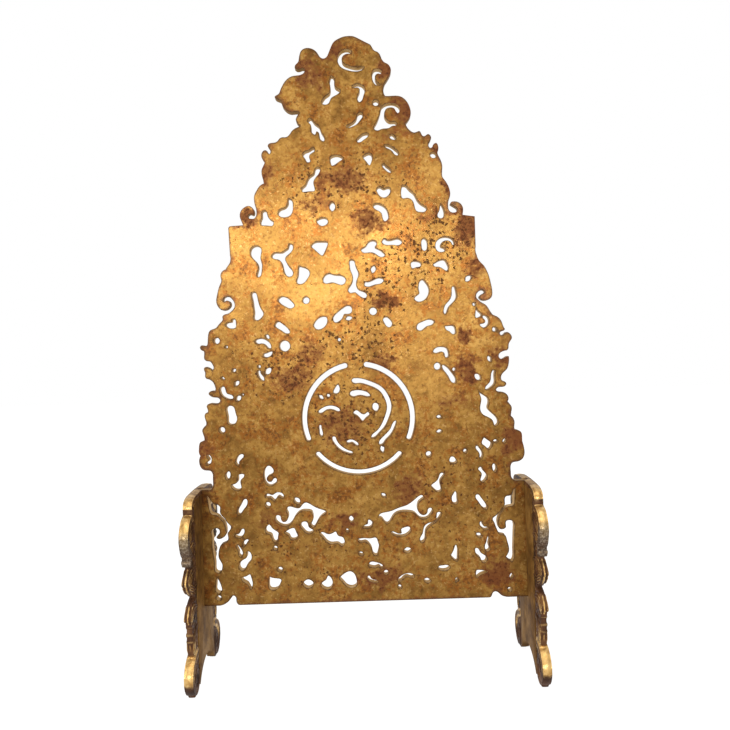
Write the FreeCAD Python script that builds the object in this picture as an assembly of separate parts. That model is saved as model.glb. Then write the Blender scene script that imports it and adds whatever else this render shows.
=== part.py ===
"""Gilt bronze table screen: a pierced panel held between two scrolled feet.

Millimetres. X runs to the right, Y from the viewer through the panel, Z up. The origin is on the floor,
midway between the feet and in the middle of the panel's thickness.
"""
import FreeCAD, Part
import os
from math import cos, hypot, radians, sin

# Panel
PANEL_WIDTH = 212.6  # across the side edges that are let into the posts
PANEL_HEIGHT = 365.8  # from the lower edge to the top of the crest
PANEL_THICKNESS = 6.0
PANEL_BOTTOM = 44.5  # lower edge above the floor

# Posts: the flat upright board in the middle of each foot
POST_THICKNESS = 5.0
POST_DEPTH = 46.0
ARCH_WIDTH = 44.0  # span of the arch between the two volutes of a foot
ARCH_RISE = 13.0  # height of the arch
ARCH_SPRING = 2.5  # height at which the arch springs
GROOVE_DEPTH = 2.0  # how far the panel's edge is let into the post
GROOVE_CLEARANCE = 0.15  # on each face of the panel
TAB_STANDS = 2.5  # how far the panel's side tab stands up above the post

# Scroll brackets: one before and one behind each post
BRACKET_REACH = 23.7  # from the post's edge to the fullest scroll
ARM_THICKNESS = 3.2  # the scroll's arm that lies on the post
WEB_THICKNESS = 4.0
BAND_WIDTH = 5.8  # width of the scroll bands across the foot
LEAF_WIDTH = 5.2

# Pins
DOWEL_DIAMETER = 2.4
DOWEL_LENGTH = 11.0
LOWER_DOWEL_HEIGHT = 20.0
MIDDLE_DOWEL_HEIGHT = 65.0
UPPER_DOWEL_HEIGHT = 100.0
PANEL_PIN_DIAMETER = 2.0
PANEL_PIN_BITE = 4.0  # depth of the pin in the panel's edge
PANEL_PIN_MARGIN = 14.0  # from the ends of the tab to the outer pins
PIN_CLEARANCE = 0.05  # on the radius

# Medallion: three arc slots on one circle, and the drilled hole above it
MEDALLION_RADIUS = 35.0
MEDALLION_SLOT_WIDTH = 3.2
DRILLED_HOLE_DIAMETER = 4.8

# The ornament is drawn below at the size of the real casting and stretched to the sizes above.
# Outline of the panel, clockwise from the foot of the left tab, as x and height above the floor.
# Each stretch starts where the one before it ends; two points make a straight edge, more a smooth curve.
LEFT_SIDE = [
    [(-106.3, 44.5), (-106.3, 119.7)],
    [(-100.2, 119.7)],
    [(-98.0, 120.0), (-96.9, 122.0), (-96.8, 126.0), (-96.9, 130.0), (-98.1, 131.7), (-100.1, 132.1),
     (-102.4, 132.5), (-104.0, 133.8), (-105.1, 136.2), (-105.3, 138.8), (-104.4, 141.6)],
    [(-105.3, 144.2), (-105.2, 147.0), (-104.8, 149.4), (-103.9, 150.7), (-102.1, 151.3), (-101.5, 153.1)],
    [(-102.3, 156.0), (-102.6, 158.6), (-101.8, 159.9), (-100.1, 161.5)],
    [(-100.2, 164.2), (-100.8, 166.3), (-100.7, 168.4), (-98.8, 169.7)],
    [(-98.7, 171.3), (-99.3, 173.9), (-98.0, 175.2), (-94.6, 175.3), (-91.5, 175.7), (-90.5, 177.1),
     (-91.4, 178.6), (-94.1, 179.2), (-96.7, 180.2), (-97.8, 181.9), (-97.0, 183.0), (-94.3, 183.1)],
    [(-93.3, 184.4), (-93.6, 186.4), (-94.6, 188.8), (-96.2, 190.4), (-98.7, 191.3)],
    [(-99.8, 193.2), (-99.7, 195.4), (-100.4, 197.6), (-99.6, 199.0), (-97.9, 198.7), (-96.1, 197.6),
     (-94.9, 196.9), (-94.2, 197.9), (-94.8, 200.6), (-96.2, 202.4), (-98.5, 202.9), (-99.9, 204.2),
     (-100.0, 206.6), (-100.2, 209.4)],
    [(-101.8, 210.2), (-102.5, 211.8), (-101.5, 213.1), (-99.7, 212.8), (-97.7, 213.4)],
    [(-97.3, 217.3), (-96.9, 220.2), (-96.0, 222.2), (-94.4, 223.2), (-91.9, 224.1), (-90.3, 225.9),
     (-88.5, 227.7), (-87.3, 229.5), (-87.4, 231.3), (-86.3, 232.5), (-83.7, 233.2), (-81.3, 234.8),
     (-79.6, 236.9), (-79.3, 239.4), (-80.6, 242.1), (-82.7, 243.9), (-84.8, 244.1), (-86.4, 242.9),
     (-86.6, 241.6), (-85.7, 240.8)],
    [(-84.0, 241.6), (-82.4, 240.8), (-81.8, 238.8), (-82.9, 236.7), (-85.6, 235.3), (-88.2, 235.8),
     (-89.9, 237.6), (-91.0, 240.2), (-91.0, 242.9), (-90.2, 246.4), (-89.4, 249.5), (-88.3, 252.2),
     (-87.4, 254.6), (-87.8, 256.8), (-87.6, 259.1), (-86.5, 260.7), (-84.4, 261.8)],
    [(-83.1, 263.8), (-81.7, 265.8), (-81.1, 268.2), (-81.3, 270.6)],
    [(-81.9, 288.3)],
    [(-81.4, 289.2), (-80.1, 289.7)],
    [(-72.4, 290.0)],
    [(-73.0, 292.0), (-73.9, 294.3), (-74.2, 296.8), (-73.2, 299.6), (-71.0, 301.6), (-68.5, 302.4),
     (-66.3, 301.5), (-65.0, 299.6), (-64.9, 297.4)],
    [(-65.9, 296.5), (-67.4, 297.1), (-68.8, 296.3), (-68.7, 294.7), (-67.0, 294.0), (-64.9, 294.2),
     (-63.7, 295.8), (-63.3, 298.1), (-63.5, 300.2), (-64.2, 302.6), (-64.6, 305.1), (-64.7, 307.5),
     (-64.1, 310.0), (-62.8, 312.3), (-60.7, 315.1), (-58.1, 316.5)],
    [(-58.4, 318.8), (-59.0, 321.2), (-59.3, 323.3), (-59.1, 325.6), (-58.1, 327.8), (-57.0, 330.2)],
    [(-58.4, 332.2), (-59.1, 334.3), (-58.6, 336.6), (-57.3, 337.9), (-55.8, 337.9), (-54.8, 336.8),
     (-53.8, 335.6), (-53.2, 336.4), (-53.5, 338.5), (-54.8, 340.6)],
    [(-53.9, 342.2), (-52.1, 342.7), (-49.6, 343.0), (-48.1, 344.0), (-46.9, 345.4), (-45.1, 346.1),
     (-43.0, 346.1), (-41.3, 346.9), (-39.7, 348.9), (-37.7, 351.0), (-35.6, 352.1), (-33.4, 352.8)],
    [(-35.3, 354.9), (-36.1, 357.1), (-35.2, 359.5), (-33.7, 361.6)],
]
CREST = [
    [(-35.8, 362.1), (-38.9, 361.9), (-41.4, 362.8), (-43.2, 364.4), (-44.6, 366.7), (-45.6, 369.6),
     (-47.3, 370.4), (-49.4, 372.4)],
    [(-48.1, 373.4), (-46.5, 374.4), (-45.7, 376.2), (-44.4, 379.0), (-42.5, 382.0), (-40.0, 384.3),
     (-37.2, 385.5), (-33.7, 385.8), (-31.0, 386.6), (-29.5, 388.1), (-29.5, 389.7), (-30.7, 390.3),
     (-32.5, 389.8), (-34.4, 389.8), (-35.8, 390.9)],
    [(-35.1, 392.8), (-33.6, 394.3), (-32.9, 396.7), (-32.2, 399.8), (-30.9, 402.0), (-28.6, 403.2),
     (-25.8, 403.2), (-23.1, 402.1), (-21.0, 400.1), (-19.4, 397.5), (-17.3, 396.2), (-15.0, 397.2),
     (-13.7, 399.5), (-12.7, 401.8), (-11.6, 404.4), (-9.9, 406.9), (-7.0, 408.7), (-3.9, 409.9),
     (-0.6, 410.3), (2.3, 410.1), (5.0, 409.0), (8.0, 407.3), (11.1, 405.6), (13.6, 404.3)],
    [(14.7, 402.3), (15.9, 400.5), (18.2, 399.3), (19.6, 397.6), (20.5, 395.1), (22.2, 392.7),
     (24.2, 391.6), (25.8, 389.7), (26.4, 387.2), (25.5, 384.3), (23.8, 381.5), (22.1, 378.9),
     (21.3, 376.2), (21.2, 373.1), (22.2, 370.8)],
    [(25.5, 370.7), (28.8, 370.8), (32.0, 370.2), (34.6, 368.5), (36.6, 365.9), (37.9, 362.8),
     (38.4, 359.8), (37.9, 356.8), (36.4, 354.5), (34.8, 352.4)],
]
RIGHT_SIDE = [
    [(35.8, 350.0), (37.9, 347.7), (40.1, 346.6), (42.1, 347.1), (43.7, 347.4), (44.8, 345.6),
     (46.4, 344.0)],
    [(47.6, 344.5), (49.2, 345.3), (50.6, 344.3), (51.0, 342.3), (50.0, 340.4), (49.2, 338.2),
     (50.0, 336.5), (51.3, 336.6), (52.0, 337.9), (52.9, 339.0), (54.2, 339.4), (55.3, 337.9),
     (55.5, 335.4), (54.8, 333.0)],
    [(55.4, 331.1), (56.4, 329.1), (57.4, 326.4), (57.7, 323.4), (57.4, 320.0), (57.6, 317.2)],
    [(59.1, 315.1), (60.9, 312.1), (62.0, 309.0), (62.3, 306.4), (61.8, 303.8), (61.0, 301.6),
     (60.7, 298.8), (61.0, 296.1), (62.4, 294.5), (64.6, 294.1), (66.3, 294.9), (66.5, 296.3),
     (64.9, 297.9), (63.3, 298.9), (62.1, 299.8)],
    [(62.9, 301.0), (64.9, 301.3), (67.4, 300.7), (69.4, 299.0), (70.3, 296.6), (70.2, 294.4),
     (69.9, 292.4)],
    [(77.7, 291.2)],
    [(77.7, 271.4)],
    [(77.5, 268.9), (78.2, 266.1), (79.2, 263.3), (80.8, 261.2), (82.8, 259.0), (84.4, 256.0),
     (85.6, 252.9), (86.5, 249.2), (87.3, 245.3), (87.6, 242.0), (87.1, 239.0), (85.3, 237.2),
     (82.7, 236.6), (80.3, 237.2), (79.1, 239.0), (80.3, 240.5), (82.2, 241.5)],
    [(82.6, 242.6), (81.3, 243.4), (79.2, 242.8), (77.4, 241.1), (77.1, 239.0), (78.5, 237.0),
     (80.6, 235.3), (83.0, 233.8), (84.6, 231.7), (86.0, 229.3), (87.4, 227.4), (89.6, 226.3),
     (91.7, 224.7), (93.1, 222.3), (93.8, 220.1), (95.0, 217.9)],
    [(93.8, 216.6), (92.0, 215.9), (91.7, 214.6), (93.3, 213.9), (94.6, 214.8), (95.9, 215.8),
     (97.6, 215.2), (98.9, 213.7), (99.3, 211.8), (98.2, 209.9), (97.1, 207.7), (96.9, 205.4),
     (95.7, 203.9)],
    [(92.7, 203.2), (90.8, 201.7), (90.5, 199.9), (91.8, 198.6), (93.6, 198.8), (95.2, 199.8),
     (97.0, 200.1)],
    [(97.1, 197.7), (96.6, 194.6), (95.5, 191.9), (93.5, 190.0), (92.0, 188.2), (91.5, 186.2),
     (92.1, 184.6), (93.7, 183.9), (94.8, 182.4), (93.7, 180.8), (91.2, 180.4), (88.9, 179.9),
     (88.1, 178.6), (89.7, 177.4), (92.3, 177.1), (94.7, 175.8), (95.9, 173.7), (95.3, 171.0)],
    [(96.7, 169.2), (97.8, 167.2), (97.6, 164.4), (97.2, 161.5)],
    [(98.8, 159.7), (99.4, 157.1), (99.1, 154.5), (99.5, 152.5)],
    [(101.6, 152.1), (103.3, 151.0), (104.0, 148.3), (104.0, 145.1)],
    [(104.7, 142.5), (105.2, 139.7), (105.2, 136.6), (103.9, 133.7), (101.5, 132.1), (99.2, 131.7),
     (97.1, 131.2), (96.1, 129.6), (96.0, 125.6), (96.2, 122.3), (97.3, 120.5), (99.3, 119.7)],
    [(106.3, 119.7)],
    [(106.3, 44.5)],
]
LOWER_EDGE = [
    [(91.9, 44.5)],
    [(89.7, 44.8), (87.4, 45.8), (85.4, 47.6), (83.6, 48.3), (82.1, 47.6), (81.3, 45.8), (80.0, 44.5)],
    [(-81.7, 44.5)],
    [(-83.2, 45.3), (-84.0, 47.3), (-84.3, 49.7), (-85.7, 50.7), (-87.0, 49.5), (-88.7, 47.4),
     (-91.1, 45.6), (-94.7, 44.5)],
    [(-106.3, 44.5)],
]

# Round holes as x, height and diameter
DRILLED_HOLE = (10.1, 231.9, DRILLED_HOLE_DIAMETER)
ROUND_HOLES = [
    (15.9, 366.5, 3.8), (52.1, 331.6, 3.8), (-91.6, 215.8, 3.9), (-85.4, 211.6, 1.7), (-47.7, 211.1, 6.8),
    (-33.0, 240.2, 4.3), (-12.3, 214.2, 2.0), (75.6, 234.4, 2.0), (88.2, 217.8, 2.7), (-64.6, 198.3, 1.9),
    (-75.9, 180.4, 1.4), (-89.8, 158.0, 3.7), (-20.5, 178.2, 2.0), (50.6, 195.0, 4.4), (61.3, 192.7, 2.1),
    (-61.6, 108.8, 3.3), (-10.9, 90.8, 1.9), (43.2, 138.5, 3.4), (66.9, 139.8, 2.3), (-95.1, 49.6, 3.0),
    (-57.7, 80.8, 2.6), (-55.0, 66.8, 3.1), (13.4, 62.8, 3.0), (93.0, 49.5, 2.6),
]

# Slots, as strokes along centre lines of x, height and width
CREST_STROKES = [
    [(-0.2, 400.0, 2.4), (-2.9, 400.1, 3.0), (-5.7, 398.2, 2.9), (-6.6, 394.9, 2.6), (-5.2, 391.7, 2.8),
     (-1.7, 389.7, 2.8), (2.4, 388.6, 2.6), (6.2, 388.7, 2.2), (8.4, 389.7, 1.2)],
    [(19.0, 386.6, 2.8), (16.4, 386.6, 3.2), (15.1, 384.2, 1.9), (15.3, 381.3, 1.7), (16.5, 379.1, 1.7),
     (17.9, 378.3, 1.2)],
    [(1.7, 377.4, 1.2), (4.3, 378.0, 2.2), (6.8, 376.8, 2.8), (7.4, 374.5, 3.2), (6.4, 371.8, 3.4),
     (5.6, 368.8, 2.8)],
    [(-2.9, 351.8, 1.2), (-0.1, 352.5, 1.9), (2.9, 354.4, 2.4), (4.6, 356.8, 2.8), (5.7, 359.0, 3.2)],
    [(4.4, 342.6, 2.8), (6.6, 344.3, 3.2), (9.5, 346.0, 2.3)],
    [(24.6, 345.0, 1.7), (27.3, 343.1, 1.8)],
]
ARCH_STROKES = [
    [(21.6, 338.6, 1.5), (24.2, 337.3, 2.1), (26.9, 335.1, 2.2), (28.5, 333.3, 2.4)],
    [(19.8, 326.0, 1.8), (21.7, 323.8, 2.1), (23.9, 321.8, 1.5)],
    [(-14.2, 298.9, 3.0), (-14.2, 300.3, 3.7), (-14.2, 301.7, 3.2)],
]
FIELD_STROKES = [
    [(19.2, 276.6, 3.6), (24.5, 276.1, 3.4), (28.3, 276.2, 3.9)],
    [(10.8, 258.0, 2.5), (11.4, 260.2, 2.4)],
    [(6.7, 249.5, 3.2), (11.3, 250.6, 3.1), (15.9, 251.7, 3.2)],
    [(-6.9, 227.6, 1.8), (-4.7, 228.0, 2.1)],
    [(44.6, 271.7, 3.4), (44.6, 274.1, 3.8), (44.6, 276.3, 3.4)],
    [(63.2, 274.1, 1.7), (61.9, 276.4, 2.1), (58.7, 277.4, 2.3), (55.3, 276.4, 2.8), (53.4, 273.6, 3.2),
     (54.2, 270.8, 3.4), (56.6, 270.2, 2.6)],
    [(71.3, 250.3, 2.2), (73.3, 252.1, 2.5)],
    [(62.6, 245.5, 2.0), (62.8, 242.6, 2.8), (62.6, 239.6, 3.2), (60.5, 236.4, 2.5), (57.9, 233.6, 2.4),
     (56.9, 230.9, 2.2), (56.6, 229.5, 1.5)],
    [(81.8, 226.1, 2.0), (83.5, 224.3, 2.5), (83.3, 221.8, 2.5), (81.1, 220.4, 2.5), (79.8, 220.8, 1.6)],
    [(-59.3, 218.2, 1.5), (-58.2, 216.9, 1.7)],
    [(-65.4, 214.6, 2.6), (-61.9, 214.6, 2.8), (-59.1, 213.0, 2.8), (-57.5, 210.9, 2.2)],
    [(-60.7, 205.4, 2.2), (-57.9, 206.1, 2.6), (-56.5, 207.1, 1.5)],
    [(-59.6, 194.6, 3.2), (-58.2, 195.9, 3.0)],
    [(-64.9, 194.8, 1.8), (-64.3, 192.6, 2.2), (-62.5, 190.0, 2.0)],
    [(-81.5, 196.0, 1.6), (-80.4, 196.6, 1.5)],
    [(-80.3, 187.1, 1.7), (-78.8, 188.4, 2.3)],
    [(-79.2, 177.7, 2.6), (-78.1, 178.6, 2.7)],
    [(-88.9, 191.7, 1.1), (-87.7, 191.2, 1.1)],
    [(84.1, 199.6, 2.2), (84.8, 197.9, 1.9)],
    [(75.8, 188.0, 3.0), (77.1, 186.7, 3.1)],
    [(86.8, 190.5, 1.8), (86.2, 186.9, 2.4), (85.8, 183.5, 3.1), (83.5, 181.0, 2.7), (82.0, 179.9, 1.9)],
    [(54.4, 194.9, 1.6), (56.5, 192.4, 3.0), (59.2, 188.6, 3.2), (61.0, 185.2, 2.9)],
]
MEDALLION_STROKES = [
    [(-3.5, 187.3, 3.1), (-0.3, 187.2, 3.1), (6.4, 185.3, 2.7), (13.5, 181.4, 2.7), (17.3, 175.7, 2.7),
     (18.7, 169.9, 2.8), (17.0, 163.2, 2.6), (13.8, 156.9, 2.3), (10.2, 153.1, 2.0), (7.2, 150.6, 1.5)],
    [(-4.7, 178.9, 3.6), (-1.4, 179.4, 3.4), (2.6, 178.9, 2.9), (5.7, 177.6, 1.6)],
    [(-25.8, 177.9, 1.7), (-24.4, 176.6, 1.5)],
    [(-26.3, 167.8, 2.0), (-22.9, 169.8, 2.2), (-18.9, 170.4, 2.4), (-15.7, 169.4, 2.5),
     (-14.3, 168.6, 2.1)],
    [(-26.3, 158.6, 1.4), (-26.0, 155.4, 1.8), (-25.8, 152.8, 1.6)],
    [(-17.7, 150.4, 2.4), (-16.8, 148.0, 2.4), (-14.3, 144.8, 2.3), (-10.8, 142.3, 2.1), (-8.0, 141.2, 1.8),
     (-6.5, 140.8, 1.5)],
    [(-8.7, 147.9, 1.8), (-6.3, 148.3, 1.9), (-3.8, 147.0, 1.9), (-2.7, 145.9, 1.6)],
    [(22.3, 160.0, 1.2), (20.2, 155.6, 2.0), (17.2, 151.6, 2.5), (13.9, 148.4, 2.7), (12.5, 146.4, 2.4)],
    [(13.1, 143.8, 1.6), (13.7, 140.9, 1.4)],
]
SIDE_STROKES = [
    [(-99.2, 141.5, 1.7), (-98.1, 139.7, 1.6), (-98.4, 137.7, 1.6), (-100.0, 136.6, 1.6)],
    [(-77.6, 140.9, 2.4), (-79.6, 139.1, 2.5), (-80.6, 136.8, 2.1), (-80.4, 135.8, 1.8)],
    [(-87.3, 127.1, 2.4), (-87.0, 128.4, 3.0), (-86.5, 129.9, 2.4)],
    [(-43.0, 111.3, 3.3), (-42.3, 110.3, 3.2)],
    [(-76.2, 111.6, 2.8), (-77.2, 109.3, 3.4), (-79.4, 106.1, 2.8), (-80.5, 104.1, 2.2)],
    [(-82.4, 89.4, 2.0), (-80.4, 89.4, 2.5), (-79.0, 91.2, 2.5), (-78.4, 92.7, 2.2)],
    [(-75.8, 86.0, 1.8), (-77.2, 84.7, 1.9), (-77.9, 83.2, 1.5)],
    [(-82.1, 82.8, 1.3), (-81.1, 80.8, 2.0), (-80.2, 78.6, 2.4), (-80.3, 77.0, 2.3)],
    [(50.0, 162.5, 1.7), (51.3, 162.1, 1.6)],
    [(49.7, 152.8, 1.8), (51.2, 153.0, 1.9)],
    [(85.7, 145.8, 1.0), (87.5, 145.5, 1.2)],
    [(92.1, 144.7, 1.3), (92.8, 146.6, 1.2)],
    [(74.6, 141.9, 1.7), (76.3, 139.4, 1.8), (77.2, 136.8, 1.9), (77.0, 135.4, 1.5)],
    [(85.2, 129.8, 2.1), (85.5, 128.1, 2.4), (85.6, 126.5, 1.7)],
    [(74.0, 110.0, 2.7), (75.5, 107.8, 2.8), (78.2, 103.8, 2.8), (79.0, 102.8, 2.2)],
    [(75.7, 92.9, 1.6), (76.1, 91.2, 1.4), (77.5, 89.7, 1.5), (79.6, 89.3, 1.5)],
    [(73.4, 85.8, 1.8), (75.0, 84.4, 1.8)],
]
LOWER_STROKES = [
    [(12.8, 113.3, 1.7), (13.8, 112.2, 1.9)],
    [(-8.1, 98.6, 2.7), (-8.1, 97.1, 2.7)],
    [(-2.8, 75.8, 1.9), (-1.9, 75.2, 1.9)],
    [(26.7, 76.7, 2.7), (28.7, 76.9, 2.9)],
    [(2.1, 59.8, 2.1), (3.5, 58.1, 1.9), (5.9, 57.3, 1.7), (7.3, 57.0, 1.4)],
    [(21.8, 57.9, 1.9), (23.9, 59.6, 1.9), (27.1, 60.8, 1.9), (30.5, 59.9, 1.9)],
    [(21.9, 53.6, 2.1), (22.3, 52.7, 2.0)],
    [(-37.8, 57.0, 5.2), (-36.4, 57.0, 5.2)],
    [(48.5, 64.7, 2.6), (50.7, 64.6, 3.3), (53.4, 64.9, 2.5)],
    [(38.9, 57.2, 2.3), (40.9, 56.5, 2.1)],
    [(59.0, 57.2, 1.5), (58.6, 56.0, 1.4)],
    [(94.4, 59.0, 1.5), (94.1, 56.6, 1.4)],
]

# Free-form cuts as closed smooth outlines of x and height
CREST_CUTS = [
    [(-13.1, 383.3), (-12.0, 384.7), (-10.8, 383.3), (-10.6, 378.9), (-9.4, 376.9), (-6.9, 374.9),
     (-8.1, 373.3), (-10.8, 371.8), (-13.1, 370.1), (-14.3, 367.6), (-16.7, 366.4), (-18.9, 367.4),
     (-18.2, 369.5), (-16.2, 371.8), (-13.9, 373.4), (-13.1, 375.6), (-13.2, 379.1)],
    [(19.1, 362.0), (19.9, 363.8), (21.8, 365.2), (25.3, 366.0), (28.3, 365.5), (30.7, 363.8),
     (31.3, 361.2), (30.1, 359.5), (28.8, 360.8), (27.6, 362.7), (25.4, 363.3), (22.8, 362.6),
     (21.3, 360.3), (21.2, 357.8), (22.5, 355.3), (25.1, 353.8), (28.4, 353.4), (28.9, 351.9),
     (26.3, 351.3), (24.3, 350.2), (21.7, 349.8), (19.1, 349.5), (16.1, 348.7), (14.4, 349.9),
     (15.2, 352.3), (16.8, 355.1), (18.2, 358.7)],
    [(-28.0, 356.7), (-26.7, 357.6), (-24.4, 354.8), (-21.4, 352.2), (-20.0, 348.7), (-18.1, 344.9),
     (-18.4, 342.9), (-19.7, 343.2), (-21.0, 345.9), (-21.9, 348.8), (-22.9, 349.2), (-23.9, 347.3),
     (-25.2, 347.8), (-26.2, 351.4), (-26.9, 354.2)],
]
ARCH_CUTS = [
    [(-24.8, 338.0), (-24.7, 336.7), (-27.6, 334.5), (-28.2, 332.4), (-27.8, 329.8), (-29.1, 329.4),
     (-30.7, 331.6), (-32.2, 334.5), (-30.7, 336.2), (-27.8, 337.3)],
    [(-14.0, 332.5), (-11.9, 333.3), (-8.3, 332.9), (-6.5, 331.2), (-8.3, 329.7), (-11.4, 327.6),
     (-13.6, 326.9), (-14.4, 329.2)],
    [(6.7, 332.0), (9.0, 333.5), (11.5, 333.7), (12.4, 331.8), (12.0, 328.8), (10.7, 326.4),
     (8.7, 328.8)],
    [(-23.0, 325.9), (-21.6, 325.3), (-21.9, 322.7), (-24.3, 319.6), (-25.9, 316.8), (-25.6, 313.5),
     (-25.4, 311.0), (-28.5, 310.7), (-33.5, 311.1), (-33.5, 312.3), (-31.3, 314.6), (-29.8, 317.5),
     (-27.8, 320.3), (-25.2, 322.4)],
    [(15.3, 311.3), (17.1, 312.0), (19.3, 310.8), (21.6, 311.4), (23.3, 311.2), (23.5, 308.9),
     (21.8, 306.2), (19.3, 305.2), (16.6, 306.5), (15.1, 309.0)],
    [(12.5, 300.2), (14.2, 301.3), (17.8, 300.4), (20.5, 298.1), (21.8, 294.4), (21.3, 291.0),
     (19.5, 289.9), (18.2, 291.9), (17.5, 295.1), (15.2, 296.9), (13.0, 298.4)],
    [(-24.5, 291.8), (-21.7, 293.1), (-18.1, 292.5), (-17.4, 290.7), (-19.1, 288.5), (-21.6, 288.1),
     (-23.8, 289.8)],
    [(32.2, 312.5), (33.9, 312.0), (35.6, 309.9), (38.5, 307.3), (40.1, 304.3), (41.9, 301.4),
     (44.8, 299.2), (46.7, 297.4), (45.5, 295.4), (42.8, 295.1), (40.2, 295.9), (39.1, 298.4),
     (38.4, 301.5), (36.8, 303.6), (33.9, 304.5), (31.4, 304.4), (30.6, 306.4), (31.0, 310.7)],
    [(-58.6, 298.9), (-57.3, 298.6), (-56.3, 295.7), (-54.8, 293.2), (-52.6, 291.2), (-53.0, 289.5),
     (-56.8, 289.4), (-60.6, 290.1), (-60.9, 292.1), (-59.8, 295.0)],
    [(-42.0, 306.3), (-40.4, 305.2), (-39.7, 302.0), (-40.0, 298.3), (-41.3, 295.8), (-44.9, 294.4),
     (-48.2, 295.1), (-49.4, 297.1), (-47.8, 299.4), (-44.9, 300.4), (-43.3, 302.0), (-42.6, 304.2)],
    [(56.3, 299.7), (57.6, 297.0), (58.0, 293.1), (57.1, 291.2), (54.6, 290.9), (53.7, 292.5),
     (54.9, 295.4), (55.5, 298.1)],
]
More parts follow.
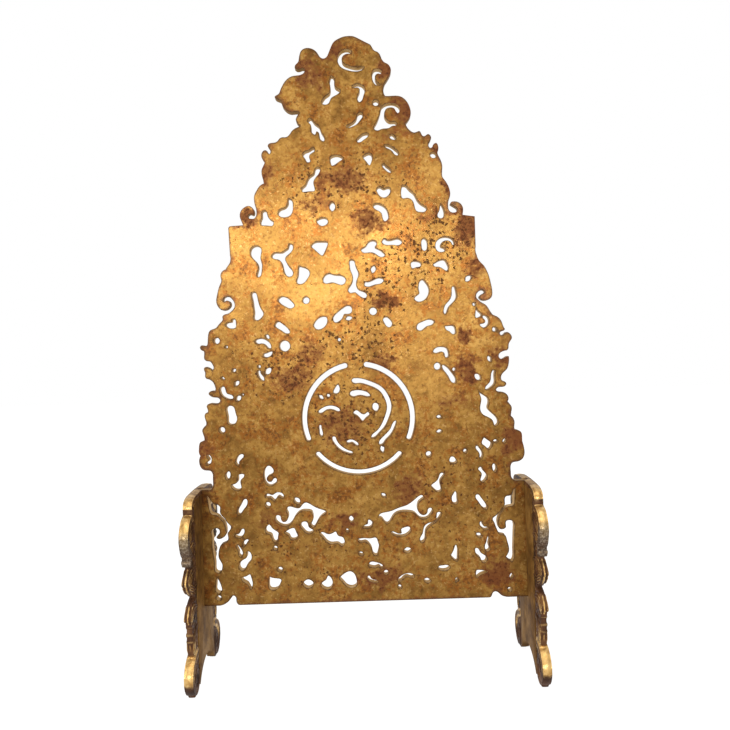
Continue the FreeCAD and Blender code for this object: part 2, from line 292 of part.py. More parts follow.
FIELD_CUTS = [
    [(-67.8, 274.0), (-66.2, 275.8), (-63.1, 276.1), (-61.1, 274.4), (-61.2, 271.3), (-61.6, 267.5),
     (-60.8, 264.2), (-61.2, 260.1), (-62.5, 256.5), (-63.8, 256.3), (-63.9, 259.1), (-63.1, 262.1),
     (-63.7, 265.0), (-65.5, 267.3), (-67.4, 269.5), (-68.2, 271.6)],
    [(-43.2, 275.5), (-41.9, 277.1), (-40.7, 275.8), (-41.4, 272.2), (-43.9, 270.0), (-45.7, 267.8),
     (-44.9, 264.7), (-42.8, 261.3), (-41.0, 258.6), (-41.5, 256.5), (-43.9, 256.0), (-46.0, 258.0),
     (-47.0, 261.3), (-47.8, 264.7), (-49.8, 267.0), (-53.0, 267.8), (-54.3, 269.3), (-53.1, 271.2),
     (-50.1, 271.5), (-47.3, 271.7), (-44.9, 273.2)],
    [(-36.3, 262.3), (-34.1, 261.6), (-31.0, 259.7), (-30.2, 257.5), (-31.5, 254.6), (-33.6, 252.0),
     (-36.3, 250.9), (-38.6, 252.0), (-38.2, 254.7), (-37.3, 259.0)],
    [(-67.1, 246.3), (-65.5, 245.9), (-64.4, 242.5), (-63.7, 239.0), (-62.3, 235.4), (-60.9, 232.1),
     (-62.2, 230.0), (-65.0, 228.4), (-66.8, 229.1), (-66.8, 232.5), (-67.1, 236.7), (-67.7, 241.9)],
    [(-50.6, 241.8), (-48.3, 243.0), (-44.9, 241.8), (-42.3, 239.5), (-40.8, 236.8), (-42.8, 235.4),
     (-46.0, 236.5), (-49.1, 238.4)],
    [(-80.9, 229.2), (-79.4, 229.2), (-78.8, 226.4), (-79.2, 224.0), (-81.4, 223.5), (-84.4, 224.3),
     (-85.6, 225.8), (-83.7, 227.2), (-81.5, 227.7)],
    [(-53.3, 225.6), (-51.6, 226.8), (-48.1, 224.8), (-44.9, 221.6), (-44.3, 219.6), (-46.3, 219.3),
     (-50.2, 221.6)],
    [(-28.2, 276.1), (-26.3, 277.5), (-21.7, 277.8), (-18.0, 277.0), (-18.6, 274.4), (-20.3, 270.8),
     (-21.7, 269.0), (-23.5, 270.1), (-26.2, 272.7)],
    [(8.1, 276.0), (9.6, 277.2), (13.0, 277.1), (13.7, 275.3), (12.5, 273.4), (14.4, 272.1), (17.6, 269.9),
     (18.8, 267.9), (16.9, 266.8), (14.3, 267.9), (11.2, 269.8), (7.5, 269.9), (4.5, 270.3), (3.6, 271.7),
     (6.0, 273.5)],
    [(-21.6, 252.8), (-20.5, 255.6), (-18.0, 257.0), (-14.4, 256.1), (-10.2, 255.6), (-7.5, 253.9),
     (-7.3, 251.4), (-9.3, 249.7), (-12.8, 250.5), (-16.5, 251.3), (-20.1, 250.9)],
    [(-3.2, 265.4), (-1.4, 264.9), (-0.5, 261.6), (0.8, 258.5), (1.2, 255.3), (0.0, 252.1), (-0.3, 248.6),
     (1.0, 246.2), (4.0, 244.8), (6.3, 242.6), (5.6, 240.8), (2.9, 241.3), (0.4, 243.3), (-1.3, 244.5),
     (-4.3, 244.3), (-5.5, 246.0), (-4.1, 248.6), (-2.6, 251.4), (-2.4, 255.4), (-3.7, 259.0),
     (-4.1, 262.8)],
    [(-5.4, 235.8), (-3.7, 234.2), (-4.1, 231.6), (-6.7, 230.7), (-8.6, 230.6), (-9.8, 228.5),
     (-12.2, 226.1), (-14.7, 225.5), (-15.9, 227.6), (-14.1, 230.9), (-10.8, 233.5), (-8.1, 235.3)],
    [(-28.5, 224.4), (-26.6, 227.3), (-23.2, 229.2), (-20.3, 228.8), (-19.8, 226.2), (-21.1, 223.4),
     (-24.2, 221.4), (-27.3, 221.8)],
    [(16.8, 227.0), (18.7, 227.7), (21.1, 225.9), (22.2, 223.5), (20.4, 221.3), (18.5, 222.1),
     (17.1, 224.5)],
    [(35.5, 260.8), (36.4, 263.1), (39.3, 263.3), (42.1, 261.7), (41.6, 260.1), (38.9, 259.5),
     (36.5, 258.9)],
    [(50.1, 261.1), (53.0, 262.8), (57.6, 263.4), (58.9, 261.2), (59.6, 258.2), (58.7, 256.8),
     (56.1, 258.0), (52.9, 259.4), (50.4, 260.1)],
    [(41.3, 250.4), (42.9, 251.2), (44.8, 249.2), (46.4, 246.4), (46.5, 242.7), (44.8, 239.5),
     (41.6, 237.4), (38.5, 237.6), (37.2, 239.1), (38.7, 241.0), (40.4, 242.5), (40.1, 244.8),
     (40.2, 248.0)],
    [(76.8, 232.2), (78.0, 230.0), (80.1, 227.2), (78.6, 226.1), (76.6, 225.7), (76.3, 228.4)],
    [(38.1, 220.2), (38.9, 222.5), (42.3, 224.2), (47.0, 225.3), (49.4, 223.9), (48.4, 222.4),
     (44.9, 221.3), (42.5, 219.6), (40.0, 218.5)],
    [(56.6, 220.7), (59.1, 220.9), (62.2, 220.4), (63.0, 218.4), (62.4, 215.6), (60.7, 215.8),
     (59.1, 217.4), (57.0, 218.7)],
    [(-89.2, 185.8), (-87.7, 185.8), (-86.8, 183.3), (-85.9, 181.4), (-82.7, 180.1), (-82.0, 178.7),
     (-84.2, 177.8), (-86.8, 178.5), (-89.3, 180.3), (-90.2, 182.1)],
    [(-86.4, 172.2), (-84.7, 173.4), (-82.3, 172.9), (-80.9, 169.0), (-80.0, 165.3), (-80.9, 162.6),
     (-83.2, 161.5), (-85.5, 162.0), (-86.0, 165.7), (-86.6, 169.4)],
    [(48.3, 204.9), (49.7, 206.6), (54.0, 207.3), (56.9, 206.4), (58.0, 203.8), (57.4, 200.7),
     (56.2, 200.7), (55.4, 203.2), (53.4, 204.5), (49.8, 203.7)],
    [(77.0, 177.9), (79.6, 175.5), (82.6, 173.0), (82.9, 170.2), (82.2, 167.3), (84.0, 164.4),
     (86.7, 161.9), (88.6, 159.1), (88.2, 156.2), (86.8, 155.5), (85.7, 157.9), (84.0, 160.3),
     (80.9, 161.9), (78.2, 164.2), (77.5, 167.5), (78.3, 171.8), (77.9, 175.0)],
]
MEDALLION_CUTS = [
    [(-13.9, 184.9), (-13.1, 183.0), (-13.4, 180.8), (-15.0, 179.4), (-17.1, 180.0), (-16.5, 182.0),
     (-15.2, 184.0)],
    [(-4.3, 167.1), (-2.1, 167.9), (0.0, 166.2), (2.8, 165.5), (4.9, 166.6), (5.6, 165.4), (3.3, 163.1),
     (1.2, 161.1), (-0.5, 162.9), (-3.1, 165.2)],
    [(9.5, 172.5), (11.3, 171.6), (11.7, 168.9), (10.4, 167.2), (8.7, 167.9), (7.9, 169.7)],
]
SIDE_CUTS = [
    [(-60.2, 133.9), (-58.6, 133.0), (-57.5, 130.0), (-59.0, 128.4), (-61.2, 127.3), (-62.0, 125.5),
     (-61.0, 123.8), (-58.6, 123.9), (-57.3, 125.6), (-55.8, 125.6), (-55.6, 124.0), (-57.5, 122.0),
     (-60.2, 121.2), (-62.3, 122.5), (-63.4, 124.9), (-63.7, 128.6), (-62.8, 131.9)],
    [(-80.3, 128.5), (-78.6, 129.1), (-76.6, 128.7), (-77.0, 127.1), (-78.5, 125.7), (-79.0, 123.3),
     (-78.7, 120.0), (-80.2, 119.1), (-84.2, 120.4), (-84.9, 121.8), (-82.8, 122.8), (-81.0, 124.0),
     (-80.5, 126.1)],
    [(-62.8, 114.2), (-61.5, 115.8), (-58.6, 115.0), (-56.2, 116.3), (-53.4, 116.4), (-51.5, 114.9),
     (-51.6, 113.0), (-52.8, 113.2), (-54.4, 114.2), (-56.0, 113.2), (-57.5, 111.5), (-59.1, 112.9),
     (-61.2, 113.6)],
    [(-100.2, 115.1), (-98.2, 112.1), (-96.4, 110.2), (-94.4, 109.7), (-92.8, 108.3), (-92.9, 105.5),
     (-92.3, 103.4), (-90.2, 101.0), (-88.1, 97.8), (-86.1, 95.2), (-87.0, 93.0), (-88.3, 90.9),
     (-88.0, 88.7), (-88.4, 86.6), (-90.3, 85.0), (-92.6, 84.0), (-93.8, 82.0), (-94.6, 78.8),
     (-94.4, 75.1), (-93.2, 72.9), (-92.4, 71.1), (-92.6, 68.4), (-93.8, 66.1), (-96.2, 66.3),
     (-97.0, 70.7), (-97.5, 76.1), (-98.1, 80.6), (-98.3, 84.6), (-98.1, 88.7), (-98.6, 91.7),
     (-97.8, 93.9), (-95.9, 94.6), (-93.8, 93.7), (-93.5, 91.7), (-94.9, 89.9), (-95.6, 88.4),
     (-94.3, 87.6), (-91.8, 88.1), (-89.8, 89.6), (-89.1, 92.4), (-89.4, 95.8), (-90.5, 98.7),
     (-92.5, 101.0), (-95.1, 103.3), (-98.1, 104.1), (-99.2, 105.9), (-99.7, 109.1)],
    [(97.8, 114.3), (96.8, 112.6), (95.4, 110.1), (92.4, 109.5), (91.5, 107.7), (91.5, 104.6), (90.0, 102.0),
     (87.4, 98.8), (84.8, 96.8), (83.4, 95.4), (84.2, 93.2), (85.1, 90.6), (86.1, 88.0), (87.7, 85.5),
     (90.9, 84.6), (92.0, 82.3), (92.8, 79.0), (93.4, 75.3), (92.5, 72.4), (91.4, 70.3), (92.9, 68.6),
     (95.0, 67.7), (96.0, 69.5), (96.2, 73.7), (96.5, 80.1), (96.9, 87.1), (97.1, 90.8), (96.0, 93.4),
     (93.9, 94.1), (92.0, 93.4), (91.7, 91.6), (91.7, 89.7), (89.7, 88.4), (87.5, 88.9), (86.6, 91.2),
     (86.4, 93.7), (87.0, 96.1), (88.6, 98.7), (90.7, 101.4), (93.2, 103.1), (96.9, 104.0), (97.6, 107.2),
     (98.1, 111.8)],
    [(-62.8, 94.6), (-61.1, 95.8), (-59.7, 94.0), (-57.1, 91.8), (-55.5, 90.3), (-55.8, 88.5),
     (-56.3, 85.9), (-57.9, 84.6), (-59.3, 86.7), (-60.4, 89.6), (-62.5, 90.4)],
    [(-57.1, 100.1), (-55.7, 101.8), (-54.1, 101.3), (-53.5, 99.1), (-52.2, 97.4), (-50.3, 97.6),
     (-48.9, 99.7), (-48.7, 102.3), (-49.6, 105.2), (-48.5, 107.0), (-46.5, 107.0), (-43.9, 106.1),
     (-41.2, 106.1), (-39.2, 108.3), (-37.0, 109.4), (-35.4, 108.9), (-32.5, 107.1), (-28.8, 105.2),
     (-24.3, 102.9), (-26.6, 101.2), (-29.1, 98.8), (-30.9, 95.7), (-32.9, 93.6), (-34.0, 94.8),
     (-33.0, 97.5), (-32.7, 101.1), (-33.7, 103.6), (-36.2, 104.4), (-38.3, 104.5), (-41.0, 104.0),
     (-43.3, 102.3), (-45.1, 99.8), (-46.7, 97.2), (-49.1, 95.3), (-52.8, 95.2), (-55.5, 96.7)],
    [(-40.5, 95.7), (-38.6, 97.2), (-36.7, 96.5), (-35.6, 93.4), (-32.8, 91.2), (-34.6, 89.8),
     (-37.7, 90.3), (-39.3, 92.0)],
    [(-51.2, 90.4), (-48.6, 92.3), (-45.0, 92.9), (-44.1, 90.7), (-43.1, 88.1), (-44.8, 86.2),
     (-47.5, 86.3), (-49.1, 88.9)],
    [(79.8, 147.8), (81.9, 146.0), (84.0, 144.0), (82.2, 140.6), (80.0, 142.4), (78.1, 144.0),
     (78.4, 146.5)],
    [(56.8, 134.9), (58.3, 136.3), (60.4, 134.8), (60.9, 132.8), (58.9, 132.1), (56.8, 133.1)],
    [(75.4, 128.5), (76.7, 129.0), (78.1, 126.6), (80.5, 123.3), (79.7, 121.3), (77.2, 119.4),
     (76.4, 120.2), (77.0, 123.2), (76.6, 125.9)],
    [(51.8, 125.9), (52.7, 125.4), (50.5, 121.8), (50.1, 117.8), (50.1, 114.3), (48.9, 114.0),
     (45.4, 116.5), (44.4, 117.7), (46.5, 119.8), (49.3, 123.1)],
    [(59.8, 113.6), (60.6, 112.3), (60.7, 109.0), (60.4, 106.0), (59.3, 105.8), (57.4, 108.5), (57.6, 110.7),
     (58.8, 112.7)],
]
LOWER_CUTS = [
    [(3.5, 97.1), (5.4, 94.6), (4.7, 92.8), (1.4, 91.9), (-0.4, 92.5), (0.9, 93.8), (2.7, 94.9)],
    [(9.7, 99.3), (11.1, 100.8), (14.7, 101.6), (18.9, 102.6), (22.6, 104.1), (27.9, 105.7), (31.6, 107.9),
     (34.6, 110.3), (36.4, 111.6), (38.3, 111.8), (39.0, 110.6), (37.8, 109.3), (35.8, 107.7),
     (34.9, 105.5), (34.8, 102.8), (36.2, 100.3), (38.4, 99.0), (40.3, 99.5), (41.4, 101.1), (41.8, 102.9),
     (43.6, 103.5), (44.5, 102.0), (43.4, 99.7), (41.6, 97.7), (39.0, 96.9), (36.5, 97.4), (34.3, 99.5),
     (32.5, 101.0), (30.0, 101.7), (24.8, 101.9), (21.0, 100.8), (18.9, 99.0), (17.3, 96.4), (15.2, 94.5),
     (13.1, 96.1), (11.5, 98.0)],
    [(17.6, 88.8), (19.0, 88.9), (21.6, 87.7), (24.2, 87.9), (24.1, 90.3), (25.8, 91.3), (29.5, 91.4),
     (29.9, 89.6), (28.3, 87.4), (25.4, 86.0), (22.1, 86.0), (18.9, 87.1)],
    [(48.8, 100.7), (49.9, 100.2), (49.1, 97.5), (46.4, 94.7), (42.7, 92.1), (40.2, 89.7), (39.3, 85.9),
     (38.5, 82.4), (36.8, 81.6), (36.0, 83.2), (37.7, 87.0), (38.8, 91.1), (40.2, 92.9), (43.8, 94.3),
     (47.0, 96.7)],
    [(-75.3, 79.1), (-74.1, 78.2), (-74.0, 73.0), (-76.2, 70.7), (-77.6, 68.1), (-79.3, 66.9),
     (-80.9, 67.7), (-80.7, 71.8), (-78.2, 73.9), (-76.3, 75.5)],
    [(-74.4, 63.8), (-73.5, 60.6), (-73.3, 56.8), (-74.3, 54.8), (-76.2, 57.9), (-79.6, 60.5),
     (-80.0, 62.0), (-77.2, 62.9)],
    [(-61.5, 62.1), (-58.2, 61.1), (-54.6, 59.9), (-55.5, 57.2), (-57.1, 54.7), (-61.8, 54.4),
     (-62.5, 58.0)],
    [(-95.5, 61.9), (-94.7, 60.5), (-93.4, 56.8), (-93.1, 54.6), (-94.3, 52.8), (-96.3, 53.4),
     (-96.8, 57.4)],
    [(-28.3, 89.4), (-26.7, 90.0), (-24.5, 88.9), (-20.3, 89.2), (-18.5, 90.0), (-17.1, 87.6),
     (-14.0, 86.3), (-13.1, 84.7), (-13.3, 81.7), (-14.7, 81.1), (-16.6, 82.3), (-21.3, 82.5),
     (-24.5, 84.2), (-27.5, 87.7)],
    [(-3.8, 84.9), (-0.2, 85.3), (4.7, 85.1), (7.5, 85.3), (8.6, 82.8), (9.3, 80.0), (8.5, 76.2),
     (7.6, 74.2), (6.2, 74.5), (4.9, 77.8), (3.5, 80.9), (0.4, 83.2), (-3.5, 83.5)],
    [(2.5, 68.1), (3.6, 69.7), (7.4, 69.4), (10.0, 68.4), (11.6, 66.3), (10.8, 65.4), (9.0, 66.9),
     (6.9, 66.4), (4.2, 66.6)],
    [(-16.5, 60.4), (-13.3, 63.0), (-9.2, 64.0), (-7.2, 62.4), (-5.9, 58.6), (-6.1, 55.2), (-9.0, 53.8),
     (-12.3, 54.9), (-14.9, 57.9)],
    [(-23.7, 61.6), (-22.0, 59.7), (-21.5, 56.3), (-23.3, 53.4), (-26.6, 53.5), (-28.7, 56.2),
     (-27.1, 58.2), (-25.3, 59.5)],
    [(80.1, 83.8), (80.6, 81.6), (80.1, 78.5), (80.5, 75.2), (79.2, 74.5), (77.8, 77.8), (79.0, 81.2)],
    [(59.3, 78.8), (60.0, 76.8), (59.9, 71.4), (59.4, 68.7), (57.3, 70.2), (55.8, 72.2), (57.3, 75.4)],
    [(72.4, 76.7), (73.5, 76.1), (74.7, 73.8), (77.1, 72.1), (78.6, 69.9), (77.6, 67.6), (75.6, 67.9),
     (74.7, 70.3), (72.4, 72.4)],
    [(72.1, 62.4), (75.5, 62.3), (79.0, 61.2), (76.1, 60.1), (73.6, 58.9), (72.0, 57.9)],
]

# Centre of the medallion, and the start and end of its arc slots in degrees
MEDALLION_CENTRE = (-1.4, 163.1)
MEDALLION_ARCS = [(103.0, 200.5), (-22.5, 80.0), (220.5, 317.0)]

# Bracket, as reach from the panel's middle plane and height: the web's edge from the top of the post
# down to the flat under the volute
WEB_EDGE = [
    [(23.0, 117.8), (27.6, 116.6), (31.0, 114.6), (32.4, 112.4), (31.8, 110.8), (30.0, 110.3),
     (28.2, 109.9)],
    [(31.2, 108.6), (34.7, 108.3), (39.0, 106.0), (42.6, 102.0), (44.6, 97.9), (43.6, 92.9), (41.1, 88.1),
     (38.1, 85.6)],
    [(38.9, 84.0), (39.5, 82.3), (38.9, 80.6), (37.1, 79.1)],
    [(39.4, 75.2), (41.8, 73.0), (42.7, 70.4), (41.1, 66.6), (38.1, 63.4), (34.4, 61.3), (30.6, 59.7),
     (27.8, 58.7)],
    [(31.8, 57.3), (35.7, 55.6), (38.8, 51.1), (39.5, 48.2), (39.2, 45.1), (37.4, 42.1)],
    [(37.6, 37.4), (37.1, 32.5), (36.4, 28.6), (35.8, 25.1)],
    [(34.8, 21.8), (39.2, 18.0), (41.4, 12.6), (39.6, 7.2), (37.6, 3.0), (36.0, 0.0)],
    [(28.0, 0.0)],
]

# Bands and leaves of the bracket, as centre lines of reach, height and thickness
TOP_ARM = [(-6.0, 118.3, 4.2), (8.0, 118.2, 4.2), (17.0, 117.8, 4.4), (24.0, 117.2, 4.8),
           (29.0, 115.8, 5.2), (31.4, 113.6, 5.2)]
BELLY_BAND = [(29.2, 107.3, 3.6), (34.2, 107.3, 4.6), (38.7, 105.1, 5.4), (42.1, 101.5, 5.6),
              (43.9, 97.9, 5.6), (43.0, 93.3, 5.2), (40.5, 88.7, 4.8), (37.2, 86.5, 3.4)]
VOLUTE = [(26.0, 24.4, 3.0), (33.2, 22.2, 4.2), (39.0, 18.0, 5.0), (41.4, 12.4, 5.2), (39.0, 6.4, 5.0),
          (33.6, 3.0, 4.6), (28.4, 4.4, 4.2), (26.4, 9.0, 3.8), (28.6, 13.4, 3.4), (32.6, 14.0, 3.2),
          (35.0, 11.0, 3.0), (32.8, 8.6, 2.8)]
LEAVES = [
    [(24.5, 101.5, 3.0), (29.9, 99.2, 4.0), (35.0, 96.9, 4.2), (39.2, 94.4, 3.0)],
    [(24.6, 90.0, 3.0), (30.1, 90.0, 4.2), (35.4, 88.7, 3.0)],
    [(24.8, 75.0, 3.0), (32.2, 75.0, 5.0), (38.5, 73.2, 6.4), (42.2, 70.6, 5.0)],
    [(24.8, 64.2, 3.0), (30.9, 63.6, 4.0), (36.2, 65.5, 4.4), (40.8, 67.4, 3.0)],
    [(24.8, 51.7, 3.0), (30.9, 52.7, 4.8), (36.2, 51.1, 5.8), (39.4, 48.2, 4.2)],
    [(24.8, 39.7, 3.0), (30.6, 37.6, 4.4), (34.1, 32.3, 3.8), (33.4, 27.0, 2.6)],
]
KNOBS = [(38.8, 82.3, 5.2), (31.0, 111.4, 5.6), (37.4, 86.9, 4.4)]  # reach, height and diameter


def smooth_loop(points):
    """Closed smooth wire through the points."""
    curve = Part.BSplineCurve()
    curve.interpolate(points, PeriodicFlag=True)
    return Part.Wire(curve.toShape())


def chained_wire(stretches):
    """Closed wire of stretches that each start where the one before ends."""
    edges = []
    last = stretches[-1][-1]
    for stretch in stretches:
        points = [last] + stretch if last.distanceToPoint(stretch[0]) > 1e-6 else stretch
        if len(points) == 2:
            edges.append(Part.makeLine(*points))
        else:
            curve = Part.BSplineCurve()
            curve.interpolate(points)
            edges.append(curve.toShape())
        last = points[-1]
    return Part.Wire(edges)


def slot_border(spine):
    """Points round a centre line of (a, b, width), with rounded ends."""
    left, right = [], []
    last = len(spine) - 1
    for i, (a, b, width) in enumerate(spine):
        back = spine[max(i - 1, 0)]
        ahead = spine[min(i + 1, last)]
        length = hypot(ahead[0] - back[0], ahead[1] - back[1])
        along = ((ahead[0] - back[0])/length, (ahead[1] - back[1])/length)
        half = width/2
        left.append((a - along[1]*half, b + along[0]*half))
        right.insert(0, (a + along[1]*half, b - along[0]*half))
        if i == 0:
            first_cap = (a - along[0]*half, b - along[1]*half)
        if i == last:
            last_cap = (a + along[0]*half, b + along[1]*half)
    return left + [last_cap] + right + [first_cap]


OUTLINE = LEFT_SIDE + CREST + RIGHT_SIDE + LOWER_EDGE
drawn_x = [x for stretch in OUTLINE for x, z in stretch]
drawn_z = [z for stretch in OUTLINE for x, z in stretch]
drawn_tab_top = LEFT_SIDE[0][1][1]


def on_panel(x, z):
    """A drawn point of the panel, stretched to the panel's size, in its middle plane."""
    across = PANEL_WIDTH/(max(drawn_x) - min(drawn_x))
    upward = PANEL_HEIGHT/(max(drawn_z) - min(drawn_z))
    return FreeCAD.Vector(x*across, 0, PANEL_BOTTOM + (z - min(drawn_z))*upward)


def arc_slot(start, end):
    """Border of a medallion slot: two arcs joined by round ends."""
    centre = on_panel(*MEDALLION_CENTRE)
    half = MEDALLION_SLOT_WIDTH/2

    def at(angle, radius):
        turn = radians(angle)
        return centre + FreeCAD.Vector(radius*cos(turn), 0, radius*sin(turn))

    def end_cap(angle, way):
        turn = radians(angle)
        return at(angle, MEDALLION_RADIUS) + FreeCAD.Vector(-sin(turn), 0, cos(turn))*(half*way)

    inner = MEDALLION_RADIUS - half
    outer = MEDALLION_RADIUS + half
    middle = (start + end)/2
    arcs = [
        Part.Arc(at(start, outer), at(middle, outer), at(end, outer)),
        Part.Arc(at(end, outer), end_cap(end, 1), at(end, inner)),
        Part.Arc(at(end, inner), at(middle, inner), at(start, inner)),
        Part.Arc(at(start, inner), end_cap(start, -1), at(start, outer)),
    ]
    return Part.Wire([arc.toShape() for arc in arcs])


def make_panel():
    """The flat casting with its outline and piercings, before the pin holes."""
    wires = [chained_wire([[on_panel(x, z) for x, z in stretch] for stretch in OUTLINE])]
    across = FreeCAD.Vector(0, 1, 0)
    for x, z, diameter in [DRILLED_HOLE] + ROUND_HOLES:
        wires.append(Part.Wire(Part.makeCircle(diameter/2, on_panel(x, z), across)))
    spines = CREST_STROKES + ARCH_STROKES + FIELD_STROKES + MEDALLION_STROKES + SIDE_STROKES + LOWER_STROKES
    wires += [arc_slot(start, end) for start, end in MEDALLION_ARCS]
    loops = [slot_border(spine) for spine in spines]
    loops += CREST_CUTS + ARCH_CUTS + FIELD_CUTS + MEDALLION_CUTS + SIDE_CUTS + LOWER_CUTS
    for points in loops:
        wires.append(smooth_loop([on_panel(x, z) for x, z in points]))
    face = Part.makeFace(wires, "Part::FaceMakerBullseye")
    face.translate(across*(-PANEL_THICKNESS/2))
    return face.extrude(across*PANEL_THICKNESS)


TAB_TOP = on_panel(0, drawn_tab_top).z
POST_TOP = TAB_TOP - TAB_STANDS
FOOT_HEIGHT = POST_TOP + ARM_THICKNESS
POST_INNER = PANEL_WIDTH/2 - GROOVE_DEPTH
POST_MIDDLE = POST_INNER + POST_THICKNESS/2
POST_HALF = POST_DEPTH/2
drawn_post_edge = WEB_EDGE[0][0][0]
drawn_reach = max(reach + thickness/2 for reach, height, thickness in BELLY_BAND)
drawn_foot_height = TOP_ARM[0][1] + TOP_ARM[0][2]/2


def in_foot(reach, height):
    """A drawn point of the foot, stretched to its size, in the middle plane of the right-hand post."""
    if reach <= drawn_post_edge:
        y = reach*POST_HALF/drawn_post_edge
    else:
        y = POST_HALF + (reach - drawn_post_edge)*BRACKET_REACH/(drawn_reach - drawn_post_edge)
    return FreeCAD.Vector(POST_MIDDLE, y, height*FOOT_HEIGHT/drawn_foot_height)


def slab(wire, thickness):
    """A flat piece of the foot, centred on the post's middle plane."""
    face = Part.Face(wire)
    face.translate(FreeCAD.Vector(-thickness/2, 0, 0))
    return face.extrude(FreeCAD.Vector(thickness, 0, 0))


def box_between(low, high):
    """A box between two opposite corners."""
    corner = FreeCAD.Vector(*low)
    size = FreeCAD.Vector(*high) - corner
    return Part.makeBox(size.x, size.y, size.z, corner)


def pin_heights():
    """Heights of the three pins in the edge of the panel's tab."""
    low = PANEL_BOTTOM + PANEL_PIN_MARGIN
    high = TAB_TOP - PANEL_PIN_MARGIN
    return low, (low + high)/2, high


def panel_pins(clearance):
    """Pins through the right-hand post into the panel's edge."""
    inner = PANEL_WIDTH/2 - PANEL_PIN_BITE
    length = POST_INNER + POST_THICKNESS - inner
    radius = PANEL_PIN_DIAMETER/2 + clearance
    pins = []
    for height in pin_heights():
        start = FreeCAD.Vector(inner, 0, height)
        pins.append(Part.makeCylinder(radius, length, start, FreeCAD.Vector(1, 0, 0)))
    return pins


def dowels(clearance):
    """Dowels between the right-hand post and the bracket behind it."""
    radius = DOWEL_DIAMETER/2 + clearance
    pins = []
    for height in (LOWER_DOWEL_HEIGHT, MIDDLE_DOWEL_HEIGHT, UPPER_DOWEL_HEIGHT):
        start = FreeCAD.Vector(POST_MIDDLE, POST_HALF - DOWEL_LENGTH/2, height)
        pins.append(Part.makeCylinder(radius, DOWEL_LENGTH, start, FreeCAD.Vector(0, 1, 0)))
    return pins


def mirrored(shape, normal):
    """The shape mirrored in a plane through the origin."""
    return shape.mirror(FreeCAD.Vector(0, 0, 0), normal)


LEFT_RIGHT = FreeCAD.Vector(1, 0, 0)
FRONT_REAR = FreeCAD.Vector(0, 1, 0)


def groove():
    """Room for the panel's tab in the right-hand post and in the arms on it."""
    half = PANEL_THICKNESS/2 + GROOVE_CLEARANCE
    mouth = POST_INNER - GROOVE_DEPTH
    return box_between((mouth, -half, PANEL_BOTTOM), (PANEL_WIDTH/2, half, FOOT_HEIGHT + GROOVE_DEPTH))


def make_post():
    """Right-hand post: a board with an arched foot, a groove for the panel and the pin holes."""
    foot = FreeCAD.Vector(POST_MIDDLE, POST_HALF, ARCH_SPRING)
    spring = FreeCAD.Vector(POST_MIDDLE, ARCH_WIDTH/2, ARCH_SPRING)
    crown = FreeCAD.Vector(POST_MIDDLE, 0, ARCH_RISE)
    far_spring = FreeCAD.Vector(POST_MIDDLE, -ARCH_WIDTH/2, ARCH_SPRING)
    far_foot = FreeCAD.Vector(POST_MIDDLE, -POST_HALF, ARCH_SPRING)
    far_top = FreeCAD.Vector(POST_MIDDLE, -POST_HALF, POST_TOP)
    top = FreeCAD.Vector(POST_MIDDLE, POST_HALF, POST_TOP)
    arch = Part.Arc(spring, crown, far_spring).toShape()
    corners = [far_spring, far_foot, far_top, top, foot, spring]
    border = [arch] + [Part.makeLine(first, second) for first, second in zip(corners, corners[1:])]
    post = slab(Part.Wire(border), POST_THICKNESS)
    rear_dowels = dowels(PIN_CLEARANCE)
    front_dowels = [mirrored(dowel, FRONT_REAR) for dowel in rear_dowels]
    return post.cut([groove()] + rear_dowels + front_dowels + panel_pins(PIN_CLEARANCE))


def make_bracket():
    """Rear bracket of the right-hand foot: a web with raised scroll bands, leaves and a volute."""
    edge = [[in_foot(reach, height) for reach, height in stretch] for stretch in WEB_EDGE]
    heel = FreeCAD.Vector(POST_MIDDLE, POST_HALF, ARCH_SPRING)
    web = slab(chained_wire(edge + [[heel], [edge[0][0]]]), WEB_THICKNESS)
    pieces = []
    for spine in (TOP_ARM, BELLY_BAND, VOLUTE):
        pieces.append(slab(smooth_loop([in_foot(*point) for point in slot_border(spine)]), BAND_WIDTH))
    for spine in LEAVES:
        pieces.append(slab(smooth_loop([in_foot(*point) for point in slot_border(spine)]), LEAF_WIDTH))
    for reach, height, diameter in KNOBS:
        knob = Part.makeCircle(diameter/2, in_foot(reach, height), LEFT_RIGHT)
        pieces.append(slab(Part.Wire(knob), BAND_WIDTH))
    bracket = web.fuse(pieces)
    side = POST_MIDDLE - BAND_WIDTH
    far_side = POST_MIDDLE + BAND_WIDTH
    post_room = box_between((side, -POST_HALF, -BAND_WIDTH), (far_side, POST_HALF, POST_TOP))
    other_half = box_between((side, -POST_HALF, POST_TOP), (far_side, 0, FOOT_HEIGHT + BAND_WIDTH))
    floor = box_between((side, 0, -BAND_WIDTH), (far_side, POST_HALF + 2*BRACKET_REACH, 0))
    return bracket.cut([post_room, other_half, floor, groove()] + dowels(PIN_CLEARANCE)).removeSplitter()


def write(name, shape):
    """One STEP file per node."""
    shape.exportStep("parts/" + name + ".step")


def main():
    os.makedirs("parts", exist_ok=True)
    right_pins = panel_pins(0)
    right_pin_holes = panel_pins(PIN_CLEARANCE)
    left_pin_holes = [mirrored(hole, LEFT_RIGHT) for hole in right_pin_holes]
    write("pierced_panel", make_panel().cut(right_pin_holes + left_pin_holes))
    post = make_post()
    bracket = make_bracket()
    bracket_dowels = Part.makeCompound(dowels(0))
    pins = Part.makeCompound(right_pins)
    for side in ("right", "left"):
        place = (lambda shape: shape) if side == "right" else (lambda shape: mirrored(shape, LEFT_RIGHT))
        write(side + "_post", place(post))
        write(side + "_panel_pins", place(pins))
        write(side + "_rear_bracket", place(bracket))
        write(side + "_rear_dowels", place(bracket_dowels))
        write(side + "_front_bracket", place(mirrored(bracket, FRONT_REAR)))
        write(side + "_front_dowels", place(mirrored(bracket_dowels, FRONT_REAR)))


main()
